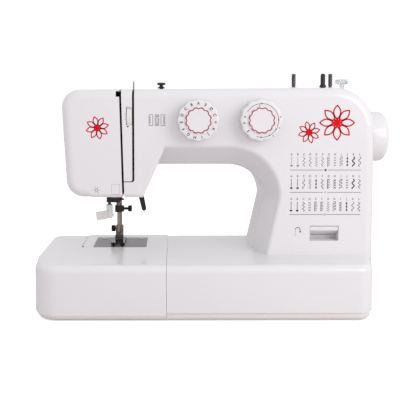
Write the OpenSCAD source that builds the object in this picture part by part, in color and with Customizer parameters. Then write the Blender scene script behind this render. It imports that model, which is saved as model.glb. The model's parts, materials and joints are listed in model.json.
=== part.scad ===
// Domestic sewing machine with a free arm, all sizes in millimetres.
// +X runs to the handwheel, the user sits at -Y, +Z is up, and z = 0 is the table it stands on.

/* [Body] */
// Height of the top of the arm
arm_top = 250; // [246:0.5:254]
// Height of the sewing bed
bed_top = 61; // [60:0.5:62]
// Distance from the origin to the front of the arm
arm_front = 35.5; // [34:0.5:37]
// Distance from the origin to the back of the arm
arm_rear = 77; // [76:0.5:78]
// Distance from the origin to the front of the bed
bed_front = 82.5; // [81:0.5:84]
// Left end of the extension table, from the origin
bed_left = 208; // [204:1:212]
// Right side of the pillar, from the origin
bed_right = 174; // [173:0.5:175]
// Thickness of the plastic covers
wall = 2.6; // [2:0.1:3]

/* [Head] */
// Side place of the needle
needle_x = -120; // [-121:0.5:-119]
// Depth place of the needle
needle_y = 30; // [29:0.5:31]
// Gap between the needle bar and the presser bar
bar_gap = 12; // [11.5:0.5:12.5]
// Height of the underside of the head
head_floor = 126.4; // [125:0.2:128]

/* [Drive] */
// Height of the upper shaft
shaft_z = 192; // [191:0.5:193]
// Depth place of the upper shaft
shaft_y = 22; // [21:0.5:23]
// Radius of the upper shaft
shaft_r = 4; // [3.5:0.1:4.5]
// Outer radius of the handwheel
wheel_r = 29.75; // [28:0.25:31]
// Right end of the handwheel
wheel_end = 199.5; // [198:0.5:203]

/* [Controls] */
// Radius of the stitch dials
dial_r = 23; // [21:0.5:24]
// How far the dials stand out
dial_h = 17.6; // [15:0.2:19]
// Radius of the spool pins
pin_r = 2.45; // [2:0.05:2.8]

/* [Hidden] */

$fn = 48;
// gap between two separate bodies
gap = 0.4;
// radial clearance of a running fit
fit = 0.05;
presser_y = needle_y + bar_gap;
// rounding of the arm and bed edges
arm_edge = 11;
bed_edge = 8;
// where the front cover meets the rear cover
split_y = 30;
// where the extension table meets the base, and the box of the free arm
seam_x = -60.4;
arm_tip = -162;
free_y0 = 4.5;
free_y1 = 74;
free_z0 = 14;
// the arm and pillar: x, z and radius of the corners of the front view
arm_corners = [[-159, arm_top - 22, 20], [bed_right - 46, arm_top - 46, 46],
    [bed_right - 12, 12, 12], [-154.5, head_floor + 20, 20]];
// the bed: x, y and radius of the corners of the plan
bed_corners = [[31.5 - bed_left, 28 - bed_front, 28], [12 - bed_left, -24, 12],
    [12 - bed_left, free_y1 - 12, 12],
    [bed_right - 12, arm_rear - 12, 12], [bed_right - 12, -22, 12], [bed_right - 29, 18 - bed_front, 18]];
// the feet of the base
foot_xs = [-40, 123.5];
foot_ys = [-58, 52];
// the two threading slots in the head
slot_w = 1.9;
lever_x = -98;
strip_rear = -6;
strip_foot = 145;
// stitch dials and their shafts
dial_z = 214.2;
dial_xs = [-25.6, 43.6];
dial_shaft_r = 3.5;
// tension wheel
tension_y = -18;
tension_z = 218;
tension_r = 17.6;
// take-up lever pivot and tip
take_y = 14;
take_z = 206;
take_pin_r = 2;
// presser foot lifter pivot
lifter_x = -99;
lifter_z = 134;
// reverse lever recess and pivot
rev_x = [101, 133.5];
rev_z = [77.4, 94.5];
rev_pivot_z = 88;
// spool pins and bobbin winder
spool_y = 52;
spool_xs = [96.8, 142.4];
winder_x = 125.3;
winder_y = 17;
stop_x = 148;
// motor
motor_y = 42;
motor_z = 92;
belt_x = [155.6, 160.4];
// shuttle
shuttle_z = 36.5;
race_y = [14, 26];
lower_y = 50;
lower_z = 34;
// needle plate
plate_x = [-148.6, -85.5];
plate_y = [4.5, 56.5];
plate_z = [59.6, 61.1];
// carrying handle
handle_x = [-30, 90];
handle_y = 79.95;
handle_z = 236;
// openings in the right side of the base
side_z = [24, 42];
switch_y = [-5, 15];
inlet_y = [32, 54];

white = [0.92, 0.91, 0.92];
beige = [0.85, 0.81, 0.76];
black = [0.08, 0.07, 0.08];
steel = [0.62, 0.62, 0.64];
alloy = [0.72, 0.73, 0.75];

// ---- helpers ----
module block(x, y, z) translate([x[0], y[0], z[0]]) cube([x[1] - x[0], y[1] - y[0], z[1] - z[0]]);
module xrod(x, y, z, r) translate([x[0], y, z]) rotate([0, 90, 0]) cylinder(h = x[1] - x[0], r = r);
module yrod(x, y, z, r) translate([x, y[0], z]) rotate([-90, 0, 0]) cylinder(h = y[1] - y[0], r = r);
module zrod(x, y, z, r) translate([x, y, z[0]]) cylinder(h = z[1] - z[0], r = r);
// a front-view outline (x, z) made solid between two depths
module front_slab(y, points) translate([0, y[1], 0]) rotate([90, 0, 0])
    linear_extrude(y[1] - y[0]) polygon(points);
// a side-view outline (y, z) made solid between two places along X
module side_slab(x, points) translate([x[0], 0, 0]) rotate([90, 0, 90])
    linear_extrude(x[1] - x[0]) polygon(points);

function quarter(r, e, n = 5) =
    concat([[0, 0]], [for (i = [0:n]) [r - e + e * cos(90 * i / n), e * sin(90 * i / n)]], [[0, e]]);
function wavy(r, depth, lobes, step) =
    [for (a = [0:step:359]) (r - depth / 2 + depth / 2 * cos(lobes * a)) * [cos(a), sin(a)]];

module cap(r, e) rotate_extrude($fn = 40) polygon(quarter(r, e));
// a disc with both rims rounded
module soft_disc(r, h, low, top) hull() {
    translate([0, 0, h - top]) cap(r, top);
    translate([0, 0, low]) mirror([0, 0, 1]) cap(r, low);
}

// ---- outer forms ----
// the whole arm, head and pillar before the throat is cut, made smaller by g on every side
module arm_block(g) hull() for (c = arm_corners)
    translate([c[0], g - arm_front, c[1]]) rotate([-90, 0, 0])
        soft_disc(c[2] - g, arm_front + arm_rear - 2 * g, arm_edge - g, arm_edge - g);

// outline of the throat: left slant, flat top at zt, round corner of radius r about cx, foot at xf
function throat_points(xl, zt, cx, r, xf, g) = concat(
    [[xl - 0.445 * zt - 4.45 - g, -10], [xl - g, zt + g]],
    [for (a = [90:-7.5:0]) [cx + (r + g) * cos(a), zt - r + (r + g) * sin(a)]],
    [[xf + g, bed_top], [xf + g - 15, -10]]);
module throat(g) {
    outer = throat_points(-61.6, 184.3, 10, 57, 52.5, g);
    inner = throat_points(-72, 161, 11, 42, 40, g);
    hull() {
        front_slab([-arm_front - 2, -arm_front], outer);
        front_slab([-1, 0], inner);
    }
    hull() {
        front_slab([-1, 0], inner);
        front_slab([60, 61], inner);
    }
    hull() {
        front_slab([60, 61], inner);
        front_slab([arm_rear, arm_rear + 2], throat_points(-69.5, 167, 11, 45, 46, g));
    }
}
// everything under the head, with a small chamfer along its front edge
module below_head(g) {
    block([-230, 0], [-60, 100], [-20, head_floor + g]);
    side_slab([-230, 0], [[-arm_front - 1, head_floor], [-arm_front - 1, head_floor + 4 + g],
        [3 - arm_front + g, head_floor]]);
}
module arm_form(g) difference() {
    arm_block(g);
    throat(g);
    below_head(g);
}
module arm_shell() difference() {
    arm_form(0);
    arm_form(wall);
    below_seam();
}
module below_seam() block([-230, 230], [-100, 100], [-20, bed_top]);

// the bed with its rounded rim, made smaller by g on every side
module bed_block(g) intersection() {
    hull() for (c = bed_corners)
        translate([c[0], c[1], g]) soft_disc(c[2] - g, bed_top - 2 * g, 7 - g, bed_edge - g);
    hull() {
        yrod(22 - bed_left, [-100, 100], 22, 22 - g);
        block([22 - bed_left, 230], [-100, 100], [g, bed_top]);
        block([g - bed_left, 0], [-100, 100], [22, bed_top]);
    }
}

// left threading slot: x of its middle at a height
function slot_x(z) = -109.3 - 3.4 * (z - head_floor) / (arm_top - head_floor);
module beside_slot(side, d) front_slab([-60, 100], [[side * 230, 0], [slot_x(0) + side * d, 0],
    [slot_x(270) + side * d, 270], [side * 230, 270]]);
module left_of_slot(d) beside_slot(-1, d);
module right_of_slot(d) beside_slot(1, d);
module head_opening() {
    block([-141, -105.5], [13, 60], [120, 134]);
    block([-104.6, -91.4], [15.4, 40.6], [120, 134]);
    block([-107, -64], [62, 72], [110, 140]);
}
// rounded rectangle that goes through the right side
module side_window(y, z, r) hull() for (a = [y[0] + r, y[1] - r], b = [z[0] + r, z[1] - r])
    xrod([150, 190], a, b, r);
// rounded slot along X through the top
module top_slot(x, y, r) hull() for (a = x) zrod(a, y, [230, 270], r);

// ---- casing ----
module base_tray() color(beige) difference() {
    intersection() {
        translate([0, 0, -1.2]) bed_block(2);
        block([seam_x + 0.3, 200], [-100, 100], [0, 10]);
    }
    intersection() {
        translate([0, 0, -1.8]) bed_block(5);
        block([seam_x + 5, 165], [-100, 100], [0, 20]);
    }
    for (x = foot_xs, y = foot_ys)
        zrod(x, y, [-1, 2], 6.7);
}

module base_cover() color(white) difference() {
    union() {
        bed_block(0);
        intersection() {
            arm_block(0.15);
            block([70, 200], [-100, 100], [0, bed_top]);
        }
    }
    intersection() {
        bed_block(wall);
        block([seam_x + 3, 200], [-100, 100], [-20, 100]);
    }
    intersection() {
        arm_block(wall + 0.3);
        block([80, 200], [-28, 70], [20, bed_top + 10]);
    }
    block([60, 166], [-28, 70], [40, 80]);
    block([-230, seam_x + 0.3], [-100, 100], [-20, 100]);
    block([-230, 230], [-100, 100], [-20, 10]);
    block([seam_x - 5, seam_x + 10], [7, 71], [16.6, 58]);
    side_window(switch_y, side_z, 1.5);
    side_window(inlet_y, side_z, 2.5);
}

module free_arm_cover() color(white) difference() {
    translate([0, 0, free_z0]) linear_extrude(bed_top - free_z0) {
        translate([arm_tip + 8, free_y0]) square([seam_x - arm_tip - 8, free_y1 - free_y0]);
        translate([arm_tip, free_y0 + 8]) square([20, free_y1 - free_y0 - 16]);
        for (y = [free_y0 + 8, free_y1 - 8])
            translate([arm_tip + 8, y]) circle(8);
    }
    block([arm_tip + wall, seam_x + 1], [free_y0 + wall, free_y1 - wall], [free_z0 + wall, bed_top - wall]);
    // seat and window of the needle plate
    block(plate_x, [0, plate_y[1]], [plate_z[0], 70]);
    block([plate_x[0] + 3, plate_x[1] - 3], [free_y0 + wall, plate_y[1] - 3], [50, 70]);
    // shuttle door
    block([-150, -74], [0, 12], [15.8, 56.2]);
    xrod([-153.5, -70.5], 7.4, 19, 1.2);
}

module shuttle_door() color(white) {
    difference() {
        union() {
            block([-149.5, -74.5], [4.8, 7.2], [19, 55.6]);
            xrod([-149.5, -74.5], 7.4, 19, 2.4);
        }
        // finger notch
        yrod(-112, [0, 6], 57, 7);
    }
    for (x = [[-153.2, -149.5], [-74.5, -70.8]])
        xrod(x, 7.4, 19, 1.15);
}

module table_notch(g) block([arm_tip - g, 0], [free_y0 - g, 100], [6, 80]);
module extension_table() color(white) difference() {
    bed_block(0);
    difference() {
        bed_block(wall);
        table_notch(gap + wall);
    }
    difference() {
        block([-150.6, -70], [-78, 20], [9, 57]);
        block([-300, 0], [-200, -77], [0, 80]);
    }
    table_notch(gap);
    block([seam_x - 0.3, 230], [-100, 100], [-20, 100]);
    block([-230, 230], [-100, 100], [-20, 6.8]);
    // doorway of the accessory box, and the holes for its hinge
    yrod(-205.6, [9, 63], 21, 1.6);
    block([-215, -200], [11.6, 60.4], [18.2, 50.4]);
}

module table_tray() color(beige) difference() {
    intersection() {
        bed_block(0.8);
        block([-230, seam_x - 0.3], [-100, 100], [0, 6.6]);
    }
    block([-188, seam_x - 4], [-70, free_y0 - 6], [3, 20]);
    block([-188, arm_tip - 8], [-70, 62], [3, 20]);
}

module accessory_door() color(white) {
    difference() {
        union() {
            block([-bed_left, 2.6 - bed_left], [12, 60], [21, 50]);
            yrod(-205.6, [12, 60], 21, 2.4);
        }
        yrod(-209.5, [28, 44], 50, 4);
    }
    for (y = [[9.5, 12], [60, 62.5]])
        yrod(-205.6, y, 21, 1.2);
}

module front_cover() color(white) difference() {
    union() {
        arm_shell();
        // pocket of the reverse lever, with ears for its pivot
        block([rev_x[0] - 2.4, rev_x[1] + 2.4], [-34, -17], [rev_z[0] - 2.4, rev_z[1] + 2.4]);
        for (x = [102.6, 129])
            block([x, x + 3], [-18, 5], [82, 94]);
    }
    block([-230, 230], [split_y, 100], [-20, 300]);
    left_of_slot(-0.15);
    block([-130, lever_x + 1.2], [-60, strip_rear], [strip_foot - 0.4, 300]);
    intersection() {
        left_of_slot(-slot_w / 2);
        block([-230, 0], [-60, strip_rear], [100, 300]);
    }
    head_opening();
    block(rev_x, [-40, -19.4], rev_z);
    block([rev_x[0] + 5, rev_x[1] - 5], [-30, 0], [81.2, rev_z[1] - 1]);
    xrod([100, 135], 0, rev_pivot_z, 2.6);
    for (x = dial_xs)
        yrod(x, [-50, 0], dial_z, 5);
    xrod([160, 190], shaft_y, shaft_z, 9);
    top_slot([winder_x, winder_x + 5.2], winder_y, 3.4);
    zrod(stop_x, winder_y, [230, 270], 2.8);
    zrod(-67, -8, [240, 270], 2.3);
}

module rear_cover() color(white) difference() {
    union() {
        arm_shell();
        for (x = [handle_x[0] - 8.5, handle_x[1] + 4.5])
            hull() {
                xrod([x, x + 4], handle_y - 0.7, handle_z, 3.2);
                block([x, x + 4], [arm_rear - 2, arm_rear], [handle_z - 8, handle_z + 2]);
            }
    }
    block([-230, 230], [-100, split_y + 0.2], [-20, 300]);
    intersection() {
        left_of_slot(-0.15);
        block([-230, 0], [-100, 48.2], [0, 300]);
    }
    head_opening();
    for (x = spool_xs)
        zrod(x, spool_y, [230, 270], 5.3);
    for (x = [handle_x[0] - 10, handle_x[1] + 2])
        xrod([x, x + 8], handle_y, handle_z, 1.7);
    block([handle_x[0] - 4.5, handle_x[1] + 4.5], [arm_rear, 90], [180, 260]);
    xrod([160, 190], shaft_y, shaft_z, 9);
}

module face_cover() color(white) difference() {
    arm_shell();
    right_of_slot(-0.15);
    block([-230, 230], [48, 100], [-20, 300]);
    intersection() {
        right_of_slot(-slot_w / 2);
        block([-230, 0], [-60, strip_rear], [100, 300]);
    }
    block([-117.5, -105], [-60, -22], [240, 246.4]);
    head_opening();
}

module thread_guide_cover() color(white) {
    difference() {
        intersection() {
            arm_shell();
            right_of_slot(slot_w / 2);
            block([-130, lever_x - 1.2], [-60, strip_rear], [strip_foot, 300]);
        }
        block([-105.8, lever_x], [-50, -20], [tension_z - 9.8, tension_z + 9.8]);
    }
    block([-110.3, -108.7], [-33.5, -8], [tension_z - 8, tension_z + 8]);
    xrod([-109, -99.6], tension_y, tension_z, 2);
}

// ---- frames ----
module arm_frame() color(alloy) {
    lugs = [[-90, -80], [50, 60], [140, 150]];
    difference() {
        union() {
            block([-150, 165], [57, 69], [198, 222]);
            block([62, 78], [57, 69], [bed_top - 1, 198]);
            for (x = lugs)
                block(x, [12, 57.5], [182, 204]);
        }
        for (x = lugs)
            xrod([x[0] - 1, x[1] + 1], shaft_y, shaft_z, 6);
    }
    // pivot of the take-up lever on its own ear
    difference() {
        block([-90, -86], [8, 20], [200, 212]);
        xrod([-91, -79], shaft_y, shaft_z, 6);
    }
    xrod([-100.4, -88], take_y, take_z, take_pin_r);
    // leg and pivot of the presser foot lifter
    block([-104, -94], [57, 62], [head_floor + wall + 0.4, 199]);
    yrod(lifter_x, [61, 71], lifter_z, 2.5);
    // plate that carries the dial shafts, on two legs
    difference() {
        union() {
            block([-46, 64], [-16, -12], [204, 224]);
            for (x = [-46, 58])
                block([x, x + 6], [-13, 58], [210, 220]);
        }
        for (x = dial_xs)
            yrod(x, [-20, 0], dial_z, dial_shaft_r + fit);
    }
    // post of the bobbin winder
    block([118, 134], [26, 58], [214, 221]);
}

module bed_frame() color(alloy) difference() {
    union() {
        block([-56, 164], [-24, 70], [12, 16]);
        block([-150, -40], [58, 70], [17.5, 46]);
        block([-56, -40], [58, 70], [12, 46]);
        block([62, 78], [57, 69], [14, bed_top - 1]);
        for (x = [[-56, -48], [42, 50]])
            block(x, [lower_y - 9, 60], [12, 44]);
    }
    for (x = [[-60, -46], [40, 52]])
        xrod(x, lower_y, lower_z, shaft_r + fit);
    yrod(needle_x, [50, 75], shuttle_z, shaft_r + fit);
}

module needle_bar_frame() color(steel) difference() {
    union() {
        block([-127, -113], [50, 57], [134, 218]);
        block([-138, -113], [22, 50.5], [134, 140]);
        block([-127, -113], [22, 50.5], [200, 206]);
    }
    for (y = [needle_y, presser_y])
        zrod(needle_x, y, [130, 210], 3 + fit);
    zrod(-131, 27, [130, 145], 1.8 + fit);
}

// ---- drive ----
module handwheel() color(white) difference() {
    union() {
        translate([0, shaft_y, shaft_z]) rotate([0, 90, 0]) rotate_extrude($fn = 96) polygon(concat(
            [[0, 176], [wheel_r - 1.6, 176], [wheel_r - 0.4, 178.5], [wheel_r, 186]],
            [for (a = [0:15:90]) [wheel_r - 7.7 + 7.5 * cos(a), wheel_end - 7.5 + 7.5 * sin(a)]],
            [[19, wheel_end], [18, wheel_end - 4], [0, wheel_end - 4]]));
        // belt pulley on the same hub
        xrod([161, 177], shaft_y, shaft_z, 8.2);
        grooved([154, 162], shaft_y, shaft_z, 27, 2);
    }
    xrod([150, wheel_end - 11], shaft_y, shaft_z, shaft_r);
    xrod([wheel_end - 12, wheel_end + 2], shaft_y, shaft_z, 6 + fit);
}
module clutch_knob() color(white) {
    translate([0, shaft_y, shaft_z]) rotate([0, 90, 0]) rotate_extrude() polygon(
        [[0, wheel_end - 3.6], [16.8, wheel_end - 3.6], [17.3, wheel_end - 2.6], [16.5, wheel_end - 0.8],
        [15, wheel_end], [9, wheel_end - 0.6], [0, wheel_end - 1]]);
    xrod([wheel_end - 10, wheel_end - 3.2], shaft_y, shaft_z, 6);
}
module upper_shaft() color(steel) xrod([-108, wheel_end - 11], shaft_y, shaft_z, shaft_r);
module shaft_bushes() color([0.72, 0.6, 0.35]) for (x = [[-90, -80], [50, 60], [140, 150]])
    difference() {
        xrod([x[0] - 1, x[1] + 1], shaft_y, shaft_z, 6);
        xrod([x[0] - 2, x[1] + 2], shaft_y, shaft_z, shaft_r + fit);
    }
module crank_disc() color(steel) difference() {
    union() {
        xrod([-108, -104], shaft_y, shaft_z, 19.5);
        xrod([-104, -96], shaft_y, shaft_z, 7);
        xrod([-110.5, -108], shaft_y, shaft_z + 15, 2.5);
    }
    xrod([-108, -90], shaft_y, shaft_z, shaft_r);
}
module grooved(x, y, z, r, bore) translate([0, y, z]) rotate([0, 90, 0]) rotate_extrude() polygon(
    [[bore, x[0]], [r, x[0]], [r, x[0] + 1.2], [r - 1.4, x[0] + 1.4], [r - 1.4, x[1] - 1.4],
    [r, x[1] - 1.2], [r, x[1]], [bore, x[1]]]);
module motor() color([0.25, 0.25, 0.27]) difference() {
    union() {
        xrod([84, 142], motor_y, motor_z, 25);
        xrod([142, 149], motor_y, motor_z, 9);
        block([92, 134], [motor_y - 18, motor_y + 18], [16, motor_z - 14]);
    }
    xrod([90, 160], motor_y, motor_z, 3 + fit);
}
module motor_pulley() color(steel) {
    grooved([154, 162], motor_y, motor_z, 10, 2);
    xrod([92, 163], motor_y, motor_z, 3);
}
module belt_loop(d) hull() {
    translate([shaft_y, shaft_z]) circle(25.6 + gap + d);
    translate([motor_y, motor_z]) circle(8.6 + gap + d);
}
module motor_belt() color(black) translate([belt_x[0], 0, 0]) rotate([90, 0, 90])
    linear_extrude(belt_x[1] - belt_x[0]) difference() {
        belt_loop(1.6);
        belt_loop(0);
    }

// ---- needle and presser ----
module needle_bar() color(steel) zrod(needle_x, needle_y, [104, 240], 3);
module needle_bar_link() color(steel) {
    difference() {
        zrod(needle_x, needle_y, [174, 186], 5);
        zrod(needle_x, needle_y, [170, 190], 3);
    }
    difference() {
        xrod([-116, -110.9], needle_y, 180, 2.4);
        zrod(needle_x, needle_y, [170, 190], 3);
    }
    difference() {
        side_slab([-112.6, -110.9], [[needle_y - 4, 178], [needle_y + 4, 180], [shaft_y + 4, 209],
            [shaft_y - 4, 207]]);
        xrod([-113, -110], shaft_y, shaft_z + 15, 2.6);
    }
}
module needle_clamp() color(black) difference() {
    union() {
        zrod(needle_x, needle_y, [99, 107], 4.6);
        block([needle_x, needle_x + 6.5], [needle_y - 3, needle_y + 3], [99.6, 106.4]);
    }
    zrod(needle_x, needle_y, [104, 110], 3);
    zrod(needle_x, needle_y, [90, 105], 1.1);
    xrod([needle_x + 1, needle_x + 10], needle_y, 103, 1.6);
}
module needle_clamp_screw() color(black) {
    xrod([needle_x + 3.2, -108.5], needle_y, 103, 1.55);
    translate([-108.5, needle_y, 103]) rotate([90, 0, 90]) linear_extrude(4.5)
        polygon(wavy(3.9, 0.5, 12, 7.5));
}
module needle() color([0.75, 0.75, 0.77]) {
    zrod(needle_x, needle_y, [88, 104], 1.1);
    translate([needle_x, needle_y, 85]) cylinder(h = 3, r1 = 0.7, r2 = 1.1);
    zrod(needle_x, needle_y, [75, 85], 0.7);
    translate([needle_x, needle_y, 71]) cylinder(h = 4, r1 = 0.15, r2 = 0.7);
}
module take_up_lever() color([0.8, 0.8, 0.82]) difference() {
    side_slab([lever_x - 0.7, lever_x + 0.7], [[take_y + 4, take_z - 4], [take_y + 5, take_z + 2],
        [take_y - 4, take_z + 13], [-19, 249], [-19.5, 256], [-21.5, 257.5], [-24, 256.5],
        [-24.3, 252], [-22, 246], [take_y - 11, take_z + 11], [take_y - 5, take_z - 2]]);
    xrod([-100, -96], take_y, take_z, take_pin_r + fit);
    xrod([-100, -96], -21.6, 253.4, 1.3);
}
module presser_bar() color(steel) {
    zrod(needle_x, presser_y, [79, 232], 3);
    difference() {
        union() {
            zrod(needle_x, presser_y, [152, 160], 6.5);
            block([-119, -98.5], [presser_y + 2, presser_y + 6], [152, 157]);
        }
        zrod(needle_x, presser_y, [150, 170], 3);
    }
}
module presser_spring() {
    turns = 7;
    steps = 12;
    rad = 4.6;
    wire = 0.7;
    low = 161;
    high = 198.8;
    function ring(i) = [for (k = [0:5]) let (a = 360 * i / steps, w = 60 * k)
        [needle_x + (rad + wire * cos(w)) * cos(a), presser_y + (rad + wire * cos(w)) * sin(a),
        low + (high - low) * i / (turns * steps) + wire * sin(w)]];
    n = turns * steps;
    color(steel) polyhedron(
        points = [for (i = [0:n]) each ring(i)],
        faces = concat([[for (k = [0:5]) k]], [[for (k = [5:-1:0]) n * 6 + k]],
            [for (i = [0:n - 1], k = [0:5]) each [
                [i * 6 + k, (i + 1) * 6 + k, (i + 1) * 6 + (k + 1) % 6],
                [i * 6 + k, (i + 1) * 6 + (k + 1) % 6, i * 6 + (k + 1) % 6]]]));
}
module foot_holder() color(steel) difference() {
    union() {
        block([needle_x - 4.6, needle_x + 4.6], [presser_y - 4, presser_y + 4.4], [70, 80]);
        block([needle_x - 2.4, needle_x + 2.4], [presser_y - 6.9, presser_y + 1], [64.4, 72]);
    }
    zrod(needle_x, presser_y, [79, 90], 3);
    xrod([-130, needle_x + 1], presser_y, 76, 1.6);
    xrod([needle_x - 5, needle_x + 5], presser_y - 3, 66.6, 1);
}
module foot_holder_screw() color(black) {
    xrod([-125.5, needle_x], presser_y, 76, 1.55);
    translate([-130, presser_y, 76]) rotate([90, 0, 90]) linear_extrude(4.7) polygon(wavy(4, 0.5, 12, 7.5));
}
module presser_foot() color([0.7, 0.7, 0.72]) {
    difference() {
        side_slab([needle_x - 7.75, needle_x + 7.75], [[8, 65.5], [9, 65.6], [13, 63.6], [50, 63.6], [50, 62],
            [13, 62], [9.5, 63]]);
        block([needle_x - 3.2, needle_x + 3.2], [0, 24], [60, 70]);
        block([needle_x - 2.6, needle_x + 2.6], [needle_y - 4, needle_y + 3.4], [60, 70]);
    }
    for (x = [needle_x - 4.8, needle_x + 2.7])
        side_slab([x, x + 2.1], [[presser_y - 10, 63], [presser_y + 4, 63],
            [presser_y + 1, 69], [presser_y - 6, 69]]);
    xrod([needle_x - 4.8, needle_x + 4.8], presser_y - 3, 66.6, 1);
}
module presser_foot_lifter() color(black) difference() {
    union() {
        yrod(lifter_x, [64.5, 69.5], lifter_z, 5);
        front_slab([64.5, 69.5], [[lifter_x - 3.5, lifter_z - 2], [lifter_x + 4, lifter_z],
            [-88, 97], [-93.4, 96]]);
        yrod(-90.7, [64.5, 69.5], 96.6, 2.75);
    }
    yrod(lifter_x, [60, 75], lifter_z, 2.5 + fit);
}
module threader_rod() color(black) {
    zrod(-131, 27, [112, 190], 1.8);
    block([-134, -117.4], [20, 24.8], [112, 117.6]);
    block([-134, -127.8], [20, 30.5], [112, 117.6]);
    zrod(-131, 27, [95, 112], 1.8);
}
module needle_threader() color([0.95, 0.94, 0.9]) difference() {
    union() {
        block([-134.6, -127.6], [21.5, 31], [92.6, 108.8]);
        front_slab([20, 22.4], [[-133, 92], [-133.4, 102.4], [-147, 100], [-146.2, 89.6]]);
        yrod(-136, [18.6, 21], 95, 2.1);
        block([-128, -125.2], [24.4, 26.4], [95, 97]);
        block([-126.8, -125.2], [24.4, 29], [95, 96.4]);
    }
    zrod(-131, 27, [80, 111], 1.8 + fit);
}

// ---- controls ----
module tension_dial() color([0.88, 0.87, 0.88]) difference() {
    xrod([-105.2, -99.4], tension_y, tension_z, tension_r);
    xrod([-110, -90], tension_y, tension_z, 2 + fit);
}
module tension_discs() color(steel) for (x = [-108.5, -107])
    difference() {
        xrod([x, x + 1.2], tension_y, tension_z, 10);
        xrod([x - 1, x + 3], tension_y, tension_z, 2);
    }
module dial_knob(x) {
    face = -arm_front - 0.5;
    translate([x, face, dial_z]) rotate([90, 0, 0]) {
        linear_extrude(dial_h - 2.5) polygon(wavy(dial_r, 0.9, 12, 5));
        translate([0, 0, dial_h - 2.6]) linear_extrude(1.4) polygon(wavy(dial_r - 0.8, 0.8, 12, 5));
        translate([0, 0, dial_h - 1.3]) linear_extrude(1.3) polygon(wavy(14.9, 1.3, 12, 5));
    }
    yrod(x, [face - 2, -9], dial_z, dial_shaft_r);
}
module pattern_dial() color(white) {
    dial_knob(dial_xs[0]);
    yrod(dial_xs[0], [-10, 13], dial_z, 2.5);
}
module pattern_cams() color([0.9, 0.88, 0.82]) difference() {
    for (i = [0:5])
        translate([dial_xs[0], -6 + 3 * i, dial_z]) rotate([90, 20 * i, 0]) linear_extrude(2.6)
            polygon(wavy(14, 2 + (i % 3), 3 + i, 7.5));
    yrod(dial_xs[0], [-20, 30], dial_z, 2.5);
}
module length_dial() color(white) dial_knob(dial_xs[1]);
module reverse_lever() color(white) {
    side_slab([rev_x[0] + 0.6, rev_x[1] - 0.6], [[-21.8, 82.4], [-20.9, 87], [-20.9, 93.9], [-33.4, 93.9],
        [-34.6, 93], [-34.6, 90], [-33.4, 88.2], [-23, 82.4]]);
    block([108.5, 126], [-21.5, 4], [86, 90.4]);
    xrod([102.8, 131.8], 0, rev_pivot_z, 2.15);
}
module spool_pin(x) {
    // a groove stands just above the sleeve when the pin is down
    zrod(x, spool_y, [206, 251.8], pin_r);
    zrod(x, spool_y, [251.5, 253], pin_r - 0.5);
    zrod(x, spool_y, [252.8, 265.4], pin_r);
    translate([x, spool_y, 265.4]) rotate_extrude() polygon(
        [[0, 0], [pin_r, 0], [pin_r, 1.8], [pin_r - 0.6, 2.6], [0, 2.6]]);
}
module spool_pin_left() color(steel) spool_pin(spool_xs[0]);
module spool_pin_right() color(steel) spool_pin(spool_xs[1]);
module spool_pin_sleeves() color(white) for (x = spool_xs)
    difference() {
        union() {
            zrod(x, spool_y, [224, 251.2], 4.9);
            zrod(x, spool_y, [236.5, 240], 7.5);
        }
        zrod(x, spool_y, [220, 260], pin_r + fit);
    }
module winder_carriage() color([0.2, 0.2, 0.22]) difference() {
    block([114, 137], [9, 25], [226, 236]);
    zrod(winder_x, winder_y, [220, 250], 2.75 + fit);
}
module winder_spindle() color(black) {
    zrod(winder_x, winder_y, [224, 265], 2.75);
    translate([winder_x, winder_y, 250.8]) rotate_extrude() polygon(
        [[0, 0], [4, 0], [4, 1.4], [3.4, 3.2], [0, 3.2]]);
    translate([winder_x, winder_y, 265]) cylinder(h = 2.2, r1 = 2.75, r2 = 1.9);
    zrod(winder_x, winder_y, [236.4, 241], 9);
}
module winder_stop() color([0.95, 0.95, 0.97]) translate([stop_x, winder_y, 0]) {
    translate([0, 0, 238]) cylinder(h = 17, r = 2.6);
    translate([0, 0, 254.6]) rotate_extrude() polygon(
        [[0, 0], [3, 0], [6.8, 0.9], [7.5, 2], [7.5, 4.4], [6.9, 5.4], [0, 5.6]]);
}
module winder_thread_guide() color(black) translate([-67, -8, 0]) rotate_extrude() polygon(
    [[0, 244], [2, 244], [2, 249.6], [4, 249.6], [3.4, 251], [2, 252], [2, 252.8], [4.4, 253.6], [4.85, 254.4],
        [4.5, 255.6], [3, 256.2], [0, 256.2]]);

// ---- under the bed ----
module lower_shaft() color(steel) {
    xrod([-106, 64], lower_y, lower_z, shaft_r);
    difference() {
        side_slab([-104, -98], [[lower_y - 6, lower_z - 5], [lower_y + 5, lower_z - 5], [lower_y + 5, lower_z + 5],
            [lower_y - 4, lower_z + 12], [lower_y - 8, lower_z + 9]]);
        xrod([-110, -90], lower_y, lower_z, shaft_r);
    }
    difference() {
        side_slab([54, 60], [[lower_y + 6, lower_z - 5], [lower_y + 6, lower_z + 5], [24, lower_z + 4],
            [24, lower_z - 4]]);
        xrod([50, 66], lower_y, lower_z, shaft_r);
    }
}
module shuttle_race() color(steel) {
    difference() {
        yrod(needle_x, [race_y[0], race_y[1] + 2], shuttle_z, 19.4);
        yrod(needle_x, [race_y[0] - 1, race_y[1]], shuttle_z, 17 + fit);
        yrod(needle_x, [0, 40], shuttle_z, shaft_r + fit);
    }
    block([-139, -133], [race_y[1] + 1, 58], [shuttle_z - 6, shuttle_z + 6]);
}
module shuttle_hook() color([0.78, 0.78, 0.8]) {
    difference() {
        yrod(needle_x, [race_y[0] + 0.4, race_y[1] - 0.4], shuttle_z, 17);
        yrod(needle_x, [0, race_y[1] - 2], shuttle_z, 12.8);
        translate([needle_x, 0, shuttle_z]) rotate([0, 25, 0])
            block([8, 22], [race_y[0] - 1, race_y[1] - 4], [2, 11]);
    }
    yrod(needle_x, [race_y[1] - 0.6, 66], shuttle_z, shaft_r);
}
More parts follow.
